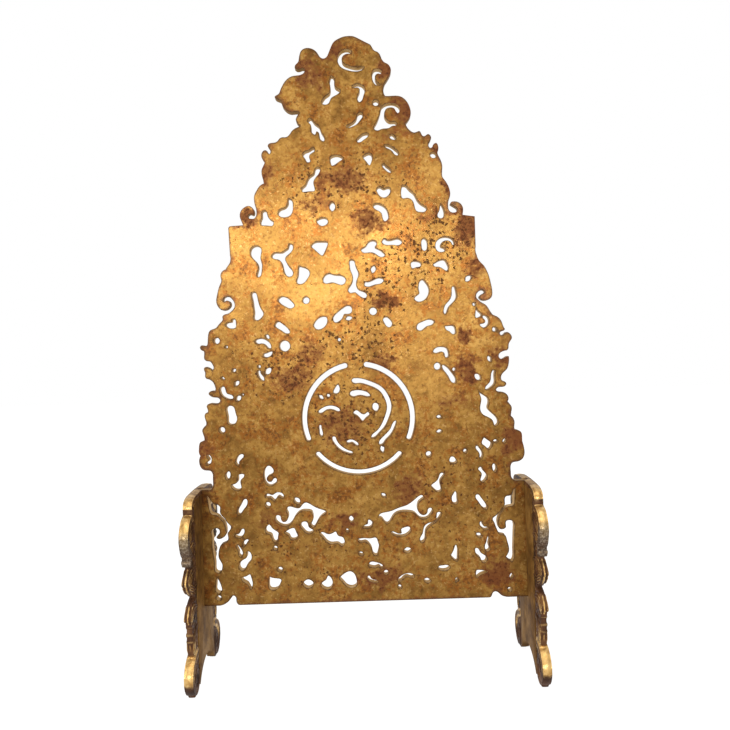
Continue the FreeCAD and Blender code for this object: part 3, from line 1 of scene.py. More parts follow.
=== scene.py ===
import bpy
import math
import numpy as np
from mathutils import Matrix, Vector
from mathutils.geometry import delaunay_2d_cdt
from mathutils.kdtree import KDTree


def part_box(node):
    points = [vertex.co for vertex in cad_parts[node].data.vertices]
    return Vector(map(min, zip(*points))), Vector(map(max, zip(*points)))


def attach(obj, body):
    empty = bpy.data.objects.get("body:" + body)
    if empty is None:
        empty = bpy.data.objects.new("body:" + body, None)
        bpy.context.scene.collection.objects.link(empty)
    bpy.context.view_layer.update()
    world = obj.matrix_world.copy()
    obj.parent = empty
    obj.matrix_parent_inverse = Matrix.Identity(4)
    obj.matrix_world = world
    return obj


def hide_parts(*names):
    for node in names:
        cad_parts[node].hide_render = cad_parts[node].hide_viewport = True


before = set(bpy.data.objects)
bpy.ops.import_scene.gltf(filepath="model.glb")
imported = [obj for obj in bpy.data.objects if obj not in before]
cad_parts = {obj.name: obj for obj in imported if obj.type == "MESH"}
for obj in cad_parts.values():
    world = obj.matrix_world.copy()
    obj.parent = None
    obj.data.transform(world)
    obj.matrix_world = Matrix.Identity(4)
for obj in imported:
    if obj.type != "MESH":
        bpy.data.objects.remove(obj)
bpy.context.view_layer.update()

# Posts: two flat boards of cast bronze that stand square to the panel and carry its side edges.
# They are filed flat, with a shallow arch cut in the foot and their sharp edges broken by the file.
# The gilding on them has dulled to an olive brown.
POST_EDGE = 0.00035       # metres
MERGE_REACH = 0.000002    # metres


def add_piece(name, mesh):
    """A new piece with a given mesh, the only one selected and active, ready to be worked on."""
    bpy.ops.object.select_all(action="DESELECT")
    piece = bpy.data.objects.new(name, mesh)
    bpy.context.scene.collection.objects.link(piece)
    piece.select_set(True)
    bpy.context.view_layer.objects.active = piece
    return piece


def edit_all(operator, **settings):
    """One mesh operator run on the whole of the active piece."""
    bpy.ops.object.mode_set(mode="EDIT")
    bpy.ops.mesh.select_all(action="SELECT")
    operator(**settings)
    bpy.ops.object.mode_set(mode="OBJECT")


def reshape(piece, name, kind, **settings):
    """One modifier set up on the active piece and applied."""
    modifier = piece.modifiers.new(name, kind)
    for setting, value in settings.items():
        setattr(modifier, setting, value)
    bpy.ops.object.modifier_apply(modifier=modifier.name)


def copy_of_node(node_name, piece_name):
    """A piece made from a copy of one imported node, with its points merged."""
    piece = add_piece(piece_name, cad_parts[node_name].data.copy())
    piece.data.materials.clear()
    edit_all(bpy.ops.mesh.remove_doubles, threshold=MERGE_REACH)
    if piece.data.has_custom_normals:
        bpy.ops.mesh.customdata_custom_splitnormals_clear()
    return piece


def break_edges(piece, width, smooth_angle):
    """File the sharp edges of the active piece down by a small rounded bevel."""
    edit_all(bpy.ops.mesh.dissolve_limited, angle_limit=math.radians(0.3))
    reshape(piece, "filed_edges", "BEVEL", width=width, segments=2, limit_method="ANGLE",
            angle_limit=math.radians(40), use_clamp_overlap=False)
    edit_all(bpy.ops.mesh.quads_convert_to_tris, quad_method="BEAUTY", ngon_method="BEAUTY")
    bpy.ops.object.shade_smooth_by_angle(angle=math.radians(smooth_angle))


def add_node(tree, kind, inputs=None, **settings):
    """One node of a finish: its settings first, then its sockets, each a number, a colour or a link."""
    made = tree.nodes.new(kind)
    for name, value in settings.items():
        setattr(made, name, value)
    for socket, value in (inputs or {}).items():
        if isinstance(value, bpy.types.NodeSocket):
            tree.links.new(value, made.inputs[socket])
        else:
            made.inputs[socket].default_value = value
    return made


def new_finish(name, metallic):
    """An empty bronze finish with the surface position in millimetres."""
    finish = bpy.data.materials.new(name)
    finish.use_nodes = True
    tree = finish.node_tree
    shader = tree.nodes["Principled BSDF"]
    shader.inputs["Metallic"].default_value = metallic
    place = add_node(tree, "ShaderNodeTexCoord").outputs["Object"]
    in_mm = add_node(tree, "ShaderNodeMapping", {"Vector": place, "Scale": (1000, 1000, 1000)})
    return finish, tree, shader, in_mm.outputs["Vector"]


def noise(tree, vector, size, detail=3.0, roughness=0.55, distortion=0.0):
    """Cloudy noise whose patches are about size millimetres across."""
    return add_node(tree, "ShaderNodeTexNoise", {
        "Vector": vector, "Scale": 1.0 / size, "Detail": detail, "Roughness": roughness,
        "Distortion": distortion}).outputs["Fac"]


def between(tree, value, low, high, to_low=0.0, to_high=1.0):
    """A soft step from to_low to to_high as the value goes from low to high."""
    return add_node(tree, "ShaderNodeMapRange", {
        "Value": value, "From Min": low, "From Max": high, "To Min": to_low, "To Max": to_high},
        interpolation_type="SMOOTHSTEP").outputs["Result"]


def combine(tree, operation, first, second):
    """Two values joined by one operation."""
    return add_node(tree, "ShaderNodeMath", {0: first, 1: second}, operation=operation).outputs["Value"]


def blend_colour(tree, factor, first, second, blend_type="MIX"):
    """Two colours mixed by a factor."""
    return add_node(tree, "ShaderNodeMixRGB", {"Fac": factor, "Color1": first, "Color2": second},
                    blend_type=blend_type).outputs["Color"]


def colour_steps(tree, value, stops):
    """A colour ramp from (place, colour) stops."""
    made = add_node(tree, "ShaderNodeValToRGB", {"Fac": value})
    ramp = made.color_ramp
    while len(ramp.elements) < len(stops):
        ramp.elements.new(1.0)
    for element, (place, colour) in zip(ramp.elements, stops):
        element.position = place
        element.color = (*colour, 1.0)
    return made.outputs["Color"]


dull_gilding, tree, shader, in_mm = new_finish("dull_gilt_bronze", 0.30)
shader.inputs["Specular IOR Level"].default_value = 0.12
clouds = noise(tree, in_mm, 14, 5, 0.6)
grain = noise(tree, in_mm, 1.6, 3, 0.6)
brown = colour_steps(tree, clouds, [
    (0.32, (0.070, 0.030, 0.007)), (0.48, (0.170, 0.082, 0.018)), (0.62, (0.260, 0.135, 0.032)),
    (0.78, (0.340, 0.185, 0.050))])
pits = between(tree, grain, 0.60, 0.70)
brown = blend_colour(tree, pits, brown, (0.050, 0.020, 0.010, 1))
tree.links.new(brown, shader.inputs["Base Color"])
tree.links.new(between(tree, clouds, 0.3, 0.8, 0.75, 0.60), shader.inputs["Roughness"])
bump = add_node(tree, "ShaderNodeBump", {"Height": grain, "Strength": 0.5, "Distance": 0.00012})
tree.links.new(bump.outputs["Normal"], shader.inputs["Normal"])

for side in ("left", "right"):
    post = copy_of_node(side + "_post", side + "_gilt_post")
    break_edges(post, POST_EDGE, 25)
    post.data.materials.append(dull_gilding)
    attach(post, "root")
    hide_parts(side + "_post")

# Scroll brackets: four cast bronze brackets of two scrolls, leaves and a volute, one before and one
# behind each post. They are cast in relief, chased, and fixed to the post's edges by dowels.
# The bands are still bright gilt; the hollows and the leaves have gone a dark purple brown.
# Their lowest parts, up to about 13 mm above the table, are darkened with painted shade.
CASTING_STEP = 0.0004     # metres
BRACKET_MIDDLE = -106.8   # millimetres, like the next two
POST_EDGE_REACH = 23.0
POST_TOP = 117.2
# Depth of the relief in millimetres
LEAF_RIB_SIDE, LEAF_RIB_FRONT = 0.75, 0.95
BAND_CROWN, BAND_GROOVE = 0.7, 0.55
VEIN_HEIGHT = 0.45
# Strokes and beads: reach from the panel, height and width of each point in millimetres
TOP_BAND = [(-6.0, 118.3, 4.2), (8.0, 118.2, 4.2), (17.0, 117.8, 4.4), (24.0, 117.2, 4.8),
            (29.0, 115.8, 5.2), (31.4, 113.6, 5.2)]
BELLY_BAND = [(29.2, 107.3, 3.6), (34.2, 107.3, 4.6), (38.7, 105.1, 5.4), (42.1, 101.5, 5.6),
              (43.9, 97.9, 5.6), (43.0, 93.3, 5.2), (40.5, 88.7, 4.8), (37.2, 86.5, 3.4)]
VOLUTE = [(26.0, 24.4, 3.0), (33.2, 22.2, 4.2), (39.0, 18.0, 5.0), (41.4, 12.4, 5.2), (39.0, 6.4, 5.0),
          (33.6, 3.0, 4.6), (28.4, 4.4, 4.2), (26.4, 9.0, 3.8), (28.6, 13.4, 3.4), (32.6, 14.0, 3.2),
          (35.0, 11.0, 3.0), (32.8, 8.6, 2.8)]
LEAVES = [
    [(24.5, 101.5, 3.0), (29.9, 99.2, 4.0), (35.0, 96.9, 4.2), (39.2, 94.4, 3.0)],
    [(24.6, 90.0, 3.0), (30.1, 90.0, 4.2), (35.4, 88.7, 3.0)],
    [(24.8, 75.0, 3.0), (32.2, 75.0, 5.0), (38.5, 73.2, 6.4), (42.2, 70.6, 5.0)],
    [(24.8, 64.2, 3.0), (30.9, 63.6, 4.0), (36.2, 65.5, 4.4), (40.8, 67.4, 3.0)],
    [(24.8, 51.7, 3.0), (30.9, 52.7, 4.8), (36.2, 51.1, 5.8), (39.4, 48.2, 4.2)],
    [(24.8, 39.7, 3.0), (30.6, 37.6, 4.4), (34.1, 32.3, 3.8), (33.4, 27.0, 2.6)],
]
BEADS = [(38.8, 82.3, 5.2), (31.0, 111.4, 5.6), (37.4, 86.9, 4.4)]


def curved(stroke, steps=6):
    """A drawn stroke with points added between, along a smooth curve through its own points."""
    spots = np.array([stroke[0]] + stroke + [stroke[-1]], float)
    finer = []
    for one, two, three, four in zip(spots, spots[1:], spots[2:], spots[3:]):
        for share in np.arange(steps) / steps:
            squared = (2 * one - 5 * two + 4 * three - four) * share ** 2
            cubed = (3 * two - one - 3 * three + four) * share ** 3
            finer.append(two + 0.5 * ((three - one) * share + (squared + cubed)))
    return finer + [spots[-1]]


def across_stroke(reach, height, stroke):
    """How far each point lies outside a drawn stroke, its signed place across it and its share along it."""
    outside = np.full(len(reach), 1e9)
    across = np.zeros(len(reach))
    along = np.zeros(len(reach))
    for number, (first, second) in enumerate(zip(stroke, stroke[1:])):
        run = np.array(second[:2], float) - np.array(first[:2], float)
        from_first = np.stack([reach - first[0], height - first[1]], axis=1)
        share = np.clip(from_first @ run / (run @ run), 0, 1)
        miss = from_first - share[:, None] * run
        half = 0.5 * (first[2] + share * (second[2] - first[2]))
        distance = np.hypot(miss[:, 0], miss[:, 1])
        turn = np.sign(run[0] * miss[:, 1] - run[1] * miss[:, 0])
        nearer = distance - half < outside
        outside = np.where(nearer, distance - half, outside)
        across = np.where(nearer, turn * distance / half, across)
        along = np.where(nearer, (number + share) / (len(stroke) - 1), along)
    return outside, across, along


def soft_step(value, low, high):
    """Zero below low, one above high, and a smooth change between."""
    share = np.clip((value - low) / (high - low), 0, 1)
    return share * share * (3 - 2 * share)


def read_points(mesh, what):
    """One vector for each point of a mesh, such as its place or its normal."""
    values = np.empty(len(mesh.vertices) * 3)
    mesh.vertices.foreach_get(what, values)
    return values.reshape(-1, 3)


def store_points(mesh, name, values):
    """One number for each point of a mesh, kept under a name for its finish."""
    mesh.attributes.new(name, "FLOAT", "POINT").data.foreach_set("value", values)


bracket = copy_of_node("left_front_bracket", "left_front_gilt_bracket")
reshape(bracket, "casting", "REMESH", mode="VOXEL", voxel_size=CASTING_STEP)
reshape(bracket, "worn_edges", "SMOOTH", factor=0.5, iterations=8)

place = read_points(bracket.data, "co")
facing = read_points(bracket.data, "normal")
count = len(place)
side_way = place[:, 0] * 1000 - BRACKET_MIDDLE
reach = -place[:, 1] * 1000
height = place[:, 2] * 1000
on_side = soft_step(np.abs(facing[:, 0]), 0.35, 0.85)
on_front = 1 - on_side
free = np.maximum(soft_step(reach, POST_EDGE_REACH + 0.3, POST_EDGE_REACH + 2.2),
                  soft_step(height, POST_TOP + 0.5, POST_TOP + 1.5))

nearest = np.full(count, 1e9)
owner = np.full(count, -1)
strokes = [TOP_BAND, BELLY_BAND, VOLUTE] + LEAVES
places = [across_stroke(reach, height, curved(stroke)) for stroke in strokes]
for number, (outside, across, along) in enumerate(places):
    closer = outside < nearest
    nearest = np.where(closer, outside, nearest)
    owner = np.where(closer, number, owner)
bead = np.zeros(count)
for far, up, wide in BEADS:
    bead = np.maximum(bead, 1 - soft_step(np.hypot(reach - far, height - up), 0.5 * wide, 0.5 * wide + 0.8))
covered = 1 - soft_step(nearest, 0.7, 1.5)

relief = np.zeros(count)
gilding_and_painted_shade = np.full(count, 0.05)
silvering = np.zeros(count)
for number, (outside, across, along) in enumerate(places):
    mine = (owner == number) * covered
    if strokes[number] in LEAVES:
        fan = along * 4.0 + 0.35 * np.abs(across)
        ribs_on_side = 0.5 + 0.5 * np.cos(np.abs(across) * 2.6 * math.pi - fan)
        ribs_on_front = 0.5 + 0.5 * np.cos(side_way * math.pi / 1.25)
        ribs = on_side * ribs_on_side + on_front * ribs_on_front
        relief -= mine * free * (1 - ribs) * (LEAF_RIB_SIDE * on_side + LEAF_RIB_FRONT * on_front)
        tip = 0.3 + 0.7 * soft_step(along, 0.3, 0.85)
        gilding_and_painted_shade = np.maximum(gilding_and_painted_shade, mine * tip * (0.10 + 0.62 * soft_step(ribs, 0.45, 0.95)))
        continue
    crown = BAND_CROWN * (side_way / 2.9) ** 2 * on_front
    groove = BAND_GROOVE * np.exp(-(across / 0.5) ** 2) * on_side
    relief -= mine * free * (crown + groove)
    if strokes[number] is TOP_BAND:
        glow = (0.40 + 0.60 * soft_step(reach, 16.0, 31.0)) * soft_step(reach, -2.0, 4.0)
    elif strokes[number] is BELLY_BAND:
        glow = 1 - 0.85 * soft_step(along, 0.52, 0.80)
        greyed = mine * soft_step(along, 0.42, 0.60) * (1 - 0.5 * soft_step(along, 0.7, 0.9))
        silvering = np.maximum(silvering, greyed)
    else:
        # The volute's gilt fades out towards its foot: painted shade under it.
        glow = soft_step(height, 3.5, 13.0) * (1 - 0.8 * soft_step(along, 0.45, 0.6))
    shine = on_front * 0.95 + on_side * (0.25 + 0.3 * soft_step(np.abs(across), 0.55, 0.9))
    gilding_and_painted_shade = np.maximum(gilding_and_painted_shade, mine * glow * shine)
gilding_and_painted_shade = np.where(bead > 0.5, 0.16, gilding_and_painted_shade)
silvering = np.maximum(silvering, 0.8 * bead * (height < 90))
veins = np.sin(reach * 0.9 + height * 0.55) * np.sin(height * 0.8 - reach * 0.35)
relief += (1 - covered) * on_side * free * VEIN_HEIGHT * (veins - 0.4)
gilding_and_painted_shade = np.maximum(gilding_and_painted_shade, (1 - covered) * 0.33 * soft_step(veins, 0.45, 0.9))
# Painted shade: every part of the bracket darkens towards the table below about 13 mm.
gilding_and_painted_shade *= 0.12 + 0.88 * soft_step(height, 6.0, 13.5)
place = place + facing * (relief / 1000)[:, None]
bracket.data.vertices.foreach_set("co", place.reshape(-1))
store_points(bracket.data, "gilding_and_painted_shade", gilding_and_painted_shade)
store_points(bracket.data, "silvering", silvering)
bracket.data.update()
reshape(bracket, "chased_surface", "SMOOTH", factor=0.4, iterations=2)
bpy.ops.object.shade_smooth()

cast_gilding, tree, shader, in_mm = new_finish("cast_gilt_bronze", 0.7)
gilt_and_shade_left = add_node(tree, "ShaderNodeAttribute", attribute_name="gilding_and_painted_shade").outputs["Fac"]
grey_left = add_node(tree, "ShaderNodeAttribute", attribute_name="silvering").outputs["Fac"]
rubbed = noise(tree, in_mm, 3.2, 4, 0.65)
specks = noise(tree, in_mm, 1.1, 2, 0.5)
clouds = noise(tree, in_mm, 11, 3, 0.55)
# This mask holds the gilt worn through the patina and also the painted shade at the brackets' foot.
wear_and_painted_shade = combine(tree, "ADD", gilt_and_shade_left, combine(tree, "MULTIPLY", combine(tree, "SUBTRACT", rubbed, 0.5), 0.7))
hollows = colour_steps(tree, clouds, [
    (0.35, (0.034, 0.014, 0.006)), (0.52, (0.085, 0.034, 0.014)), (0.70, (0.175, 0.080, 0.028))])
gold = colour_steps(tree, rubbed, [
    (0.30, (0.310, 0.150, 0.042)), (0.50, (0.555, 0.335, 0.108)), (0.72, (0.710, 0.490, 0.205))])
silver = colour_steps(tree, specks, [
    (0.36, (0.046, 0.033, 0.023)), (0.50, (0.125, 0.096, 0.069)), (0.66, (0.310, 0.255, 0.188))])
colour = blend_colour(tree, between(tree, wear_and_painted_shade, 0.12, 0.70), hollows, gold)
colour = blend_colour(tree, combine(tree, "MULTIPLY", grey_left, 0.8), colour, silver)
tree.links.new(colour, shader.inputs["Base Color"])
tree.links.new(between(tree, wear_and_painted_shade, 0.12, 0.70, 0.25, 0.78), shader.inputs["Metallic"])
tree.links.new(between(tree, wear_and_painted_shade, 0.12, 0.70, 0.18, 0.45), shader.inputs["Specular IOR Level"])
tree.links.new(between(tree, wear_and_painted_shade, 0.1, 0.9, 0.60, 0.34), shader.inputs["Roughness"])
bump = add_node(tree, "ShaderNodeBump", {"Height": combine(tree, "ADD", rubbed, specks), "Strength": 0.5,
                                         "Distance": 0.0002})
tree.links.new(bump.outputs["Normal"], shader.inputs["Normal"])
bracket.data.materials.append(cast_gilding)

brackets = {"left_front": bracket}
for name, turn in (("left_rear", (1, -1, 1)), ("right_front", (-1, 1, 1)), ("right_rear", (-1, -1, 1))):
    twin = add_piece(name + "_gilt_bracket", bracket.data.copy())
    twin.data.transform(Matrix.Diagonal((*turn, 1)))
    edit_all(bpy.ops.mesh.normals_make_consistent, inside=False)
    brackets[name] = twin
for name, piece in brackets.items():
    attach(piece, "root")
    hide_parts(name + "_bracket")

# Dowels and panel pins: plain round bronze pins, three to each joint, shut in the posts, brackets
# and panel. They are drawn wire, cut to length, and only their drawing marks show.
drawn_wire, tree, shader, in_mm = new_finish("drawn_bronze_wire", 0.85)
marks = noise(tree, in_mm, 0.8, 3, 0.6)
wire_colour = colour_steps(tree, marks, [
    (0.3, (0.200, 0.110, 0.035)), (0.55, (0.420, 0.270, 0.090)), (0.8, (0.560, 0.390, 0.160))])
tree.links.new(wire_colour, shader.inputs["Base Color"])
tree.links.new(between(tree, marks, 0.3, 0.7, 0.32, 0.5), shader.inputs["Roughness"])
for name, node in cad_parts.items():
    if name.endswith(("_dowels", "_panel_pins")):
        if not node.material_slots:
            node.data.materials.append(drawn_wire)
        for slot in node.material_slots:
            slot.material = drawn_wire

# Pierced panel: one flat bronze casting about 6 mm thick, sawn out, filed on its face and gilt, and
# slid between the posts. The gilding has worn, with pits, file marks and reddish stains in it.
# Dirt has gathered along the outline, a thin dark rim of patina and painted shade runs round every opening,
# and the sawn walls of the openings are brighter metal.
PANEL_MERGE = 0.0000005    # metres
PANEL_EDGE = 0.3      # width of the broken edges; this and the next ones in millimetres
FACE_STEP = 2.0       # between the points set on the flat faces
FACE_ROOM = 0.45      # share of that step kept free of such points along the rims
RIM_SLACK = 0.012     # a rim's point this near the line between its neighbours is dropped
RIM_STEP = 0.4        # between the points from which the distance to a rim is measured
SLIVER = 0.1          # twice the area of the smallest loop that counts as an opening
RIM_REACH, BORDER_REACH = 2.2, 6.0    # of the dark rims round the openings, patina and painted shade, and of the dirt along the outline
# Spots on the panel: x, height, half width, half height in millimetres, and strength
STAINS = [
    (-24.5, 385.0, 10, 9, 0.9), (-31.0, 393.0, 7, 8, 0.9), (-11.0, 400.0, 8, 8, 0.9),
    (22.0, 386.0, 8, 10, 1.0), (34.9, 362.1, 10, 9, 1.1), (53.0, 338.0, 6, 9, 1.0),
    (61.0, 316.0, 5, 14, 0.9), (-57.0, 321.0, 6, 12, 0.8), (-69.0, 294.0, 8, 8, 1.1),
    (-24.0, 303.0, 14, 8, 0.7), (27.0, 346.0, 10, 6, 0.6), (-8.0, 318.0, 22, 9, 0.9),
    (9.0, 291.0, 13, 9, 1.0), (72.5, 286.0, 9, 15, 1.2), (52.0, 292.0, 12, 6, 0.7),
    (78.0, 258.0, 7, 8, 0.8), (-45.0, 190.0, 18, 10, 0.8), (-31.9, 206.0, 14, 10, 0.7),
    (-12.0, 158.5, 18, 16, 0.8), (68.0, 214.0, 6, 6, 1.0), (70.5, 192.0, 7, 12, 1.1),
    (61.6, 172.7, 16, 7, 0.6), (97.9, 145.5, 9, 9, 1.1), (92.0, 200.0, 7, 12, 0.9),
    (-103.1, 145.2, 8, 9, 0.8), (-12.3, 96.8, 8, 7, 1.1), (31.0, 116.0, 14, 11, 0.9),
    (9.5, 60.0, 18, 8, 0.9), (85.5, 60.1, 12, 9, 1.2), (18.0, 238.0, 9, 7, 1.1),
    (14.0, 198.0, 10, 6, 0.9), (-60.0, 100.0, 12, 8, 0.6),
]
PITTED = [
    (16, 238, 15, 12, 1.3), (35, 262, 36, 22, 1.0), (55, 275, 36, 24, 0.9), (2, 212, 34, 22, 1.0),
    (-45, 195, 40, 30, 0.8), (-5, 160, 38, 34, 0.9), (-5, 315, 55, 25, 0.8), (60, 110, 60, 45, 0.6),
    (-40, 80, 60, 40, 0.6),
]
FILED = [(45, 205, 45, 40, 1.0), (60, 240, 30, 30, 0.6)]
DULLED = [
    (-80, 205, 42, 42, 1.0), (-70, 150, 46, 50, 0.9), (0, 345, 75, 38, 1.0), (-2, 392, 60, 26, 0.8),
    (5, 150, 60, 50, 0.6), (85, 160, 36, 60, 0.6),
]


def panel_loops(mesh):
    """The outline and the openings of the panel's front face, in order, as (x, z) points in millimetres."""
    corners = np.round(read_points(mesh, "co") * 1e6).astype(np.int64)    # whole micrometres
    corners, merged = np.unique(corners, axis=0, return_inverse=True)
    merged = merged.reshape(-1)
    plane = corners[:, 1].min() + 2
    front = set()
    for face in mesh.polygons:
        ring = [int(merged[i]) for i in face.vertices]
        if face.normal.y < -0.9 and corners[ring, 1].max() <= plane:
            front.update(zip(ring, ring[1:] + ring[:1]))
    follows = {}
    for first, second in front:
        if (second, first) not in front and first != second:
            follows[first] = second
    loops = []
    while follows:
        start, step = follows.popitem()
        loop = [start]
        while step != start:
            loop.append(step)
            step = follows.pop(step)
        x, z = corners[loop][:, [0, 2]].T / 1000.0
        twice_area = abs(np.dot(x, np.roll(z, -1)) - np.dot(np.roll(x, -1), z))
        if twice_area > SLIVER:
            loops.append(np.stack([x, z], axis=1))
    return loops


def thinned(loop, slack):
    """A closed loop without the points that lie within the slack of the line between their neighbours."""
    kept = np.zeros(len(loop), bool)
    far = int(np.argmax(np.hypot(*(loop - loop[0]).T)))
    kept[[0, far]] = True
    spans = [(0, far), (far, len(loop))]
    while spans:
        first, last = spans.pop()
        if last - first < 2:
            continue
        inner = loop[first + 1:last]
        run = loop[last % len(loop)] - loop[first]
        away = inner - loop[first]
        miss = np.abs(run[0] * away[:, 1] - run[1] * away[:, 0]) / max(np.hypot(*run), 1e-9)
        worst = int(np.argmax(miss))
        if miss[worst] > slack:
            middle = first + 1 + worst
            kept[middle] = True
            spans += [(first, middle), (middle, last)]
    return loop[kept]


def nearness_search(loops):
    """A search for the nearest of many points set closely along some loops."""
    spots = []
    for loop in loops:
        for first, second in zip(loop, np.roll(loop, -1, axis=0)):
            count = max(1, int(np.hypot(*(second - first)) / RIM_STEP))
            spots += [first + (second - first) * k / count for k in range(count)]
    search = KDTree(len(spots))
    for number, (x, z) in enumerate(spots):
        search.insert((x, 0, z), number)
    search.balance()
    return search


low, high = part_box("pierced_panel")
half_thick = 500.0 * (high[1] - low[1])
loops = [thinned(loop, RIM_SLACK) for loop in panel_loops(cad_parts["pierced_panel"].data)]
outline = max(loops, key=lambda loop: np.ptp(loop[:, 1]))
near_rim, near_outline = nearness_search(loops), nearness_search([outline])

# All the rims' points, the way from each to the next one, and the way into the metal
sizes = [len(loop) for loop in loops]
total = sum(sizes)
starts = np.cumsum([0] + sizes[:-1])
after = np.concatenate([start + np.roll(np.arange(size), -1) for start, size in zip(starts, sizes)])
before = np.argsort(after)
rim = np.concatenate(loops)
run = rim[after] - rim
way = run / np.maximum(np.hypot(*run.T), 1e-9)[:, None]
into_metal = np.stack([-way[:, 1], way[:, 0]], axis=1)
into_metal = into_metal + into_metal[before]
into_metal /= np.maximum(np.hypot(*into_metal.T), 1e-9)[:, None]

# The broken edge is narrowed wherever it would turn round in a sharp corner
inset = np.full((total, 1), PANEL_EDGE)
for _ in range(12):
    face_rim = rim + into_metal * inset
    turned = np.sum((face_rim[after] - face_rim) * run, axis=1) < 0.2 * np.sum(run ** 2, axis=1)
    inset[turned] *= 0.6
    inset[after[turned]] *= 0.6
face_rim = rim + into_metal * inset

# The flat face: triangles between the rims, with a raster of points in the open metal
low_x, low_z = rim.min(axis=0)
high_x, high_z = rim.max(axis=0)
raster = [(x + FACE_STEP * 0.5 * (row % 2), z)
          for row, z in enumerate(np.arange(low_z, high_z, FACE_STEP))
          for x in np.arange(low_x, high_x, FACE_STEP)]
raster = [(x, z) for x, z in raster if near_rim.find((x, 0, z))[2] > FACE_ROOM * FACE_STEP]
points, _, triangles, origins, _, _ = delaunay_2d_cdt(
    [Vector(point) for point in face_rim] + [Vector(point) for point in raster],
    [(i, int(after[i])) for i in range(total)], [], 0, 1e-6)
corners = np.array(points)
triangles = np.array(triangles)
middle = corners[triangles].mean(axis=1)
inside = np.zeros(len(triangles), bool)
for first, second in zip(face_rim, face_rim[after]):
    if first[1] != second[1]:
        crossed = (first[1] > middle[:, 1]) != (second[1] > middle[:, 1])
        at = first[0] + (middle[:, 1] - first[1]) / (second[1] - first[1]) * (second[0] - first[0])
        inside ^= crossed & (middle[:, 0] < at)
triangles = triangles[inside]

# Rings of points from the front over the broken edge and the sawn wall to the back, then both faces
rows = [(1.0, -half_thick), (0.3, -half_thick + 0.3 * PANEL_EDGE), (0.0, -half_thick + PANEL_EDGE),
        (0.0, half_thick - PANEL_EDGE), (0.3, half_thick - 0.3 * PANEL_EDGE), (1.0, half_thick)]
spots = []
for share, depth in rows:
    spots += [(x / 1000, depth / 1000, z / 1000) for x, z in rim + into_metal * inset * share]
faces = []
for row in range(len(rows) - 1):
    one, two = row * total, (row + 1) * total
    faces += [(one + i, two + i, two + int(after[i]), one + int(after[i])) for i in range(total)]
front_of = {n: sources[0] for n, sources in enumerate(origins) if sources and sources[0] < total}
back_of = {n: (len(rows) - 1) * total + source for n, source in front_of.items()}
added = [n for n in np.unique(triangles).tolist() if n not in front_of]
for found, depth in ((front_of, -half_thick), (back_of, half_thick)):
    found.update({n: len(spots) + k for k, n in enumerate(added)})
    spots += [(corners[n][0] / 1000, depth / 1000, corners[n][1] / 1000) for n in added]
for a, b, c in triangles:
    faces += [(front_of[a], front_of[b], front_of[c]), (back_of[a], back_of[c], back_of[b])]

panel_mesh = bpy.data.meshes.new("gilt_pierced_panel")
panel_mesh.from_pydata(spots, [], faces)
for name, search, reach in (("rim", near_rim, RIM_REACH), ("border", near_outline, BORDER_REACH)):
    away = np.array([search.find((x * 1000, 0, z * 1000))[2] for x, _, z in spots])
    store_points(panel_mesh, name, np.clip(1 - away / reach, 0, 1))
panel = add_piece("gilt_pierced_panel", panel_mesh)
edit_all(bpy.ops.mesh.remove_doubles, threshold=PANEL_MERGE)
bpy.ops.object.shade_smooth_by_angle(angle=math.radians(20))

filed_gilding, tree, shader, in_mm = new_finish("filed_gilt_bronze", 0.72)
shader.inputs["Specular Tint"].default_value = (0.72, 0.47, 0.22, 1)


def strayed(tree, vector, scale, detail, centre, reach):
    """A position moved about by noise: the noise less its centre, times a reach."""
    shift = add_node(tree, "ShaderNodeTexNoise", {"Vector": vector, "Scale": scale, "Detail": detail})
    shift = add_node(tree, "ShaderNodeVectorMath", {0: shift.outputs["Color"], 1: (centre, centre, centre)},
                     operation="SUBTRACT")
    shift = add_node(tree, "ShaderNodeVectorMath", {0: shift.outputs["Vector"], "Scale": reach},
                     operation="SCALE")
    return add_node(tree, "ShaderNodeVectorMath", {0: vector, 1: shift.outputs["Vector"]},
                    operation="ADD").outputs["Vector"]


def spots_field(tree, vector, spots):
    """The strongest of several soft oval spots at each place on the panel."""
    field = None
    for x, z, wide, high, strength in spots:
        oval = add_node(tree, "ShaderNodeMapping", {
            "Vector": vector, "Location": (x, 0, z), "Scale": (wide, 400, high)}, vector_type="TEXTURE")
        away = add_node(tree, "ShaderNodeVectorMath", {0: oval.outputs["Vector"]}, operation="LENGTH")
        here = between(tree, away.outputs["Value"], 0.25, 1.5, strength, 0.0)
        field = here if field is None else combine(tree, "MAXIMUM", field, here)
    return field


clouds = noise(tree, in_mm, 32, 4, 0.55)
patches = noise(tree, in_mm, 7, 5, 0.65, 0.4)
mottle = noise(tree, in_mm, 2.6, 4, 0.7)
speck = noise(tree, in_mm, 1.9, 3, 0.6)
fleck = noise(tree, in_mm, 3.4, 7, 0.78)
grain = noise(tree, in_mm, 0.8, 2, 0.5)
clusters = combine(tree, "SUBTRACT", noise(tree, in_mm, 15, 3, 0.6), 0.5)
clusters = combine(tree, "MULTIPLY", clusters, 0.8)
fleck_swing = combine(tree, "SUBTRACT", fleck, 0.5)
ragged = strayed(tree, in_mm, 0.13, 4.0, 0.5, 24.0)
level = add_node(tree, "ShaderNodeSeparateXYZ", {"Vector": ragged}).outputs["Z"]
stain_field = spots_field(tree, ragged, STAINS)

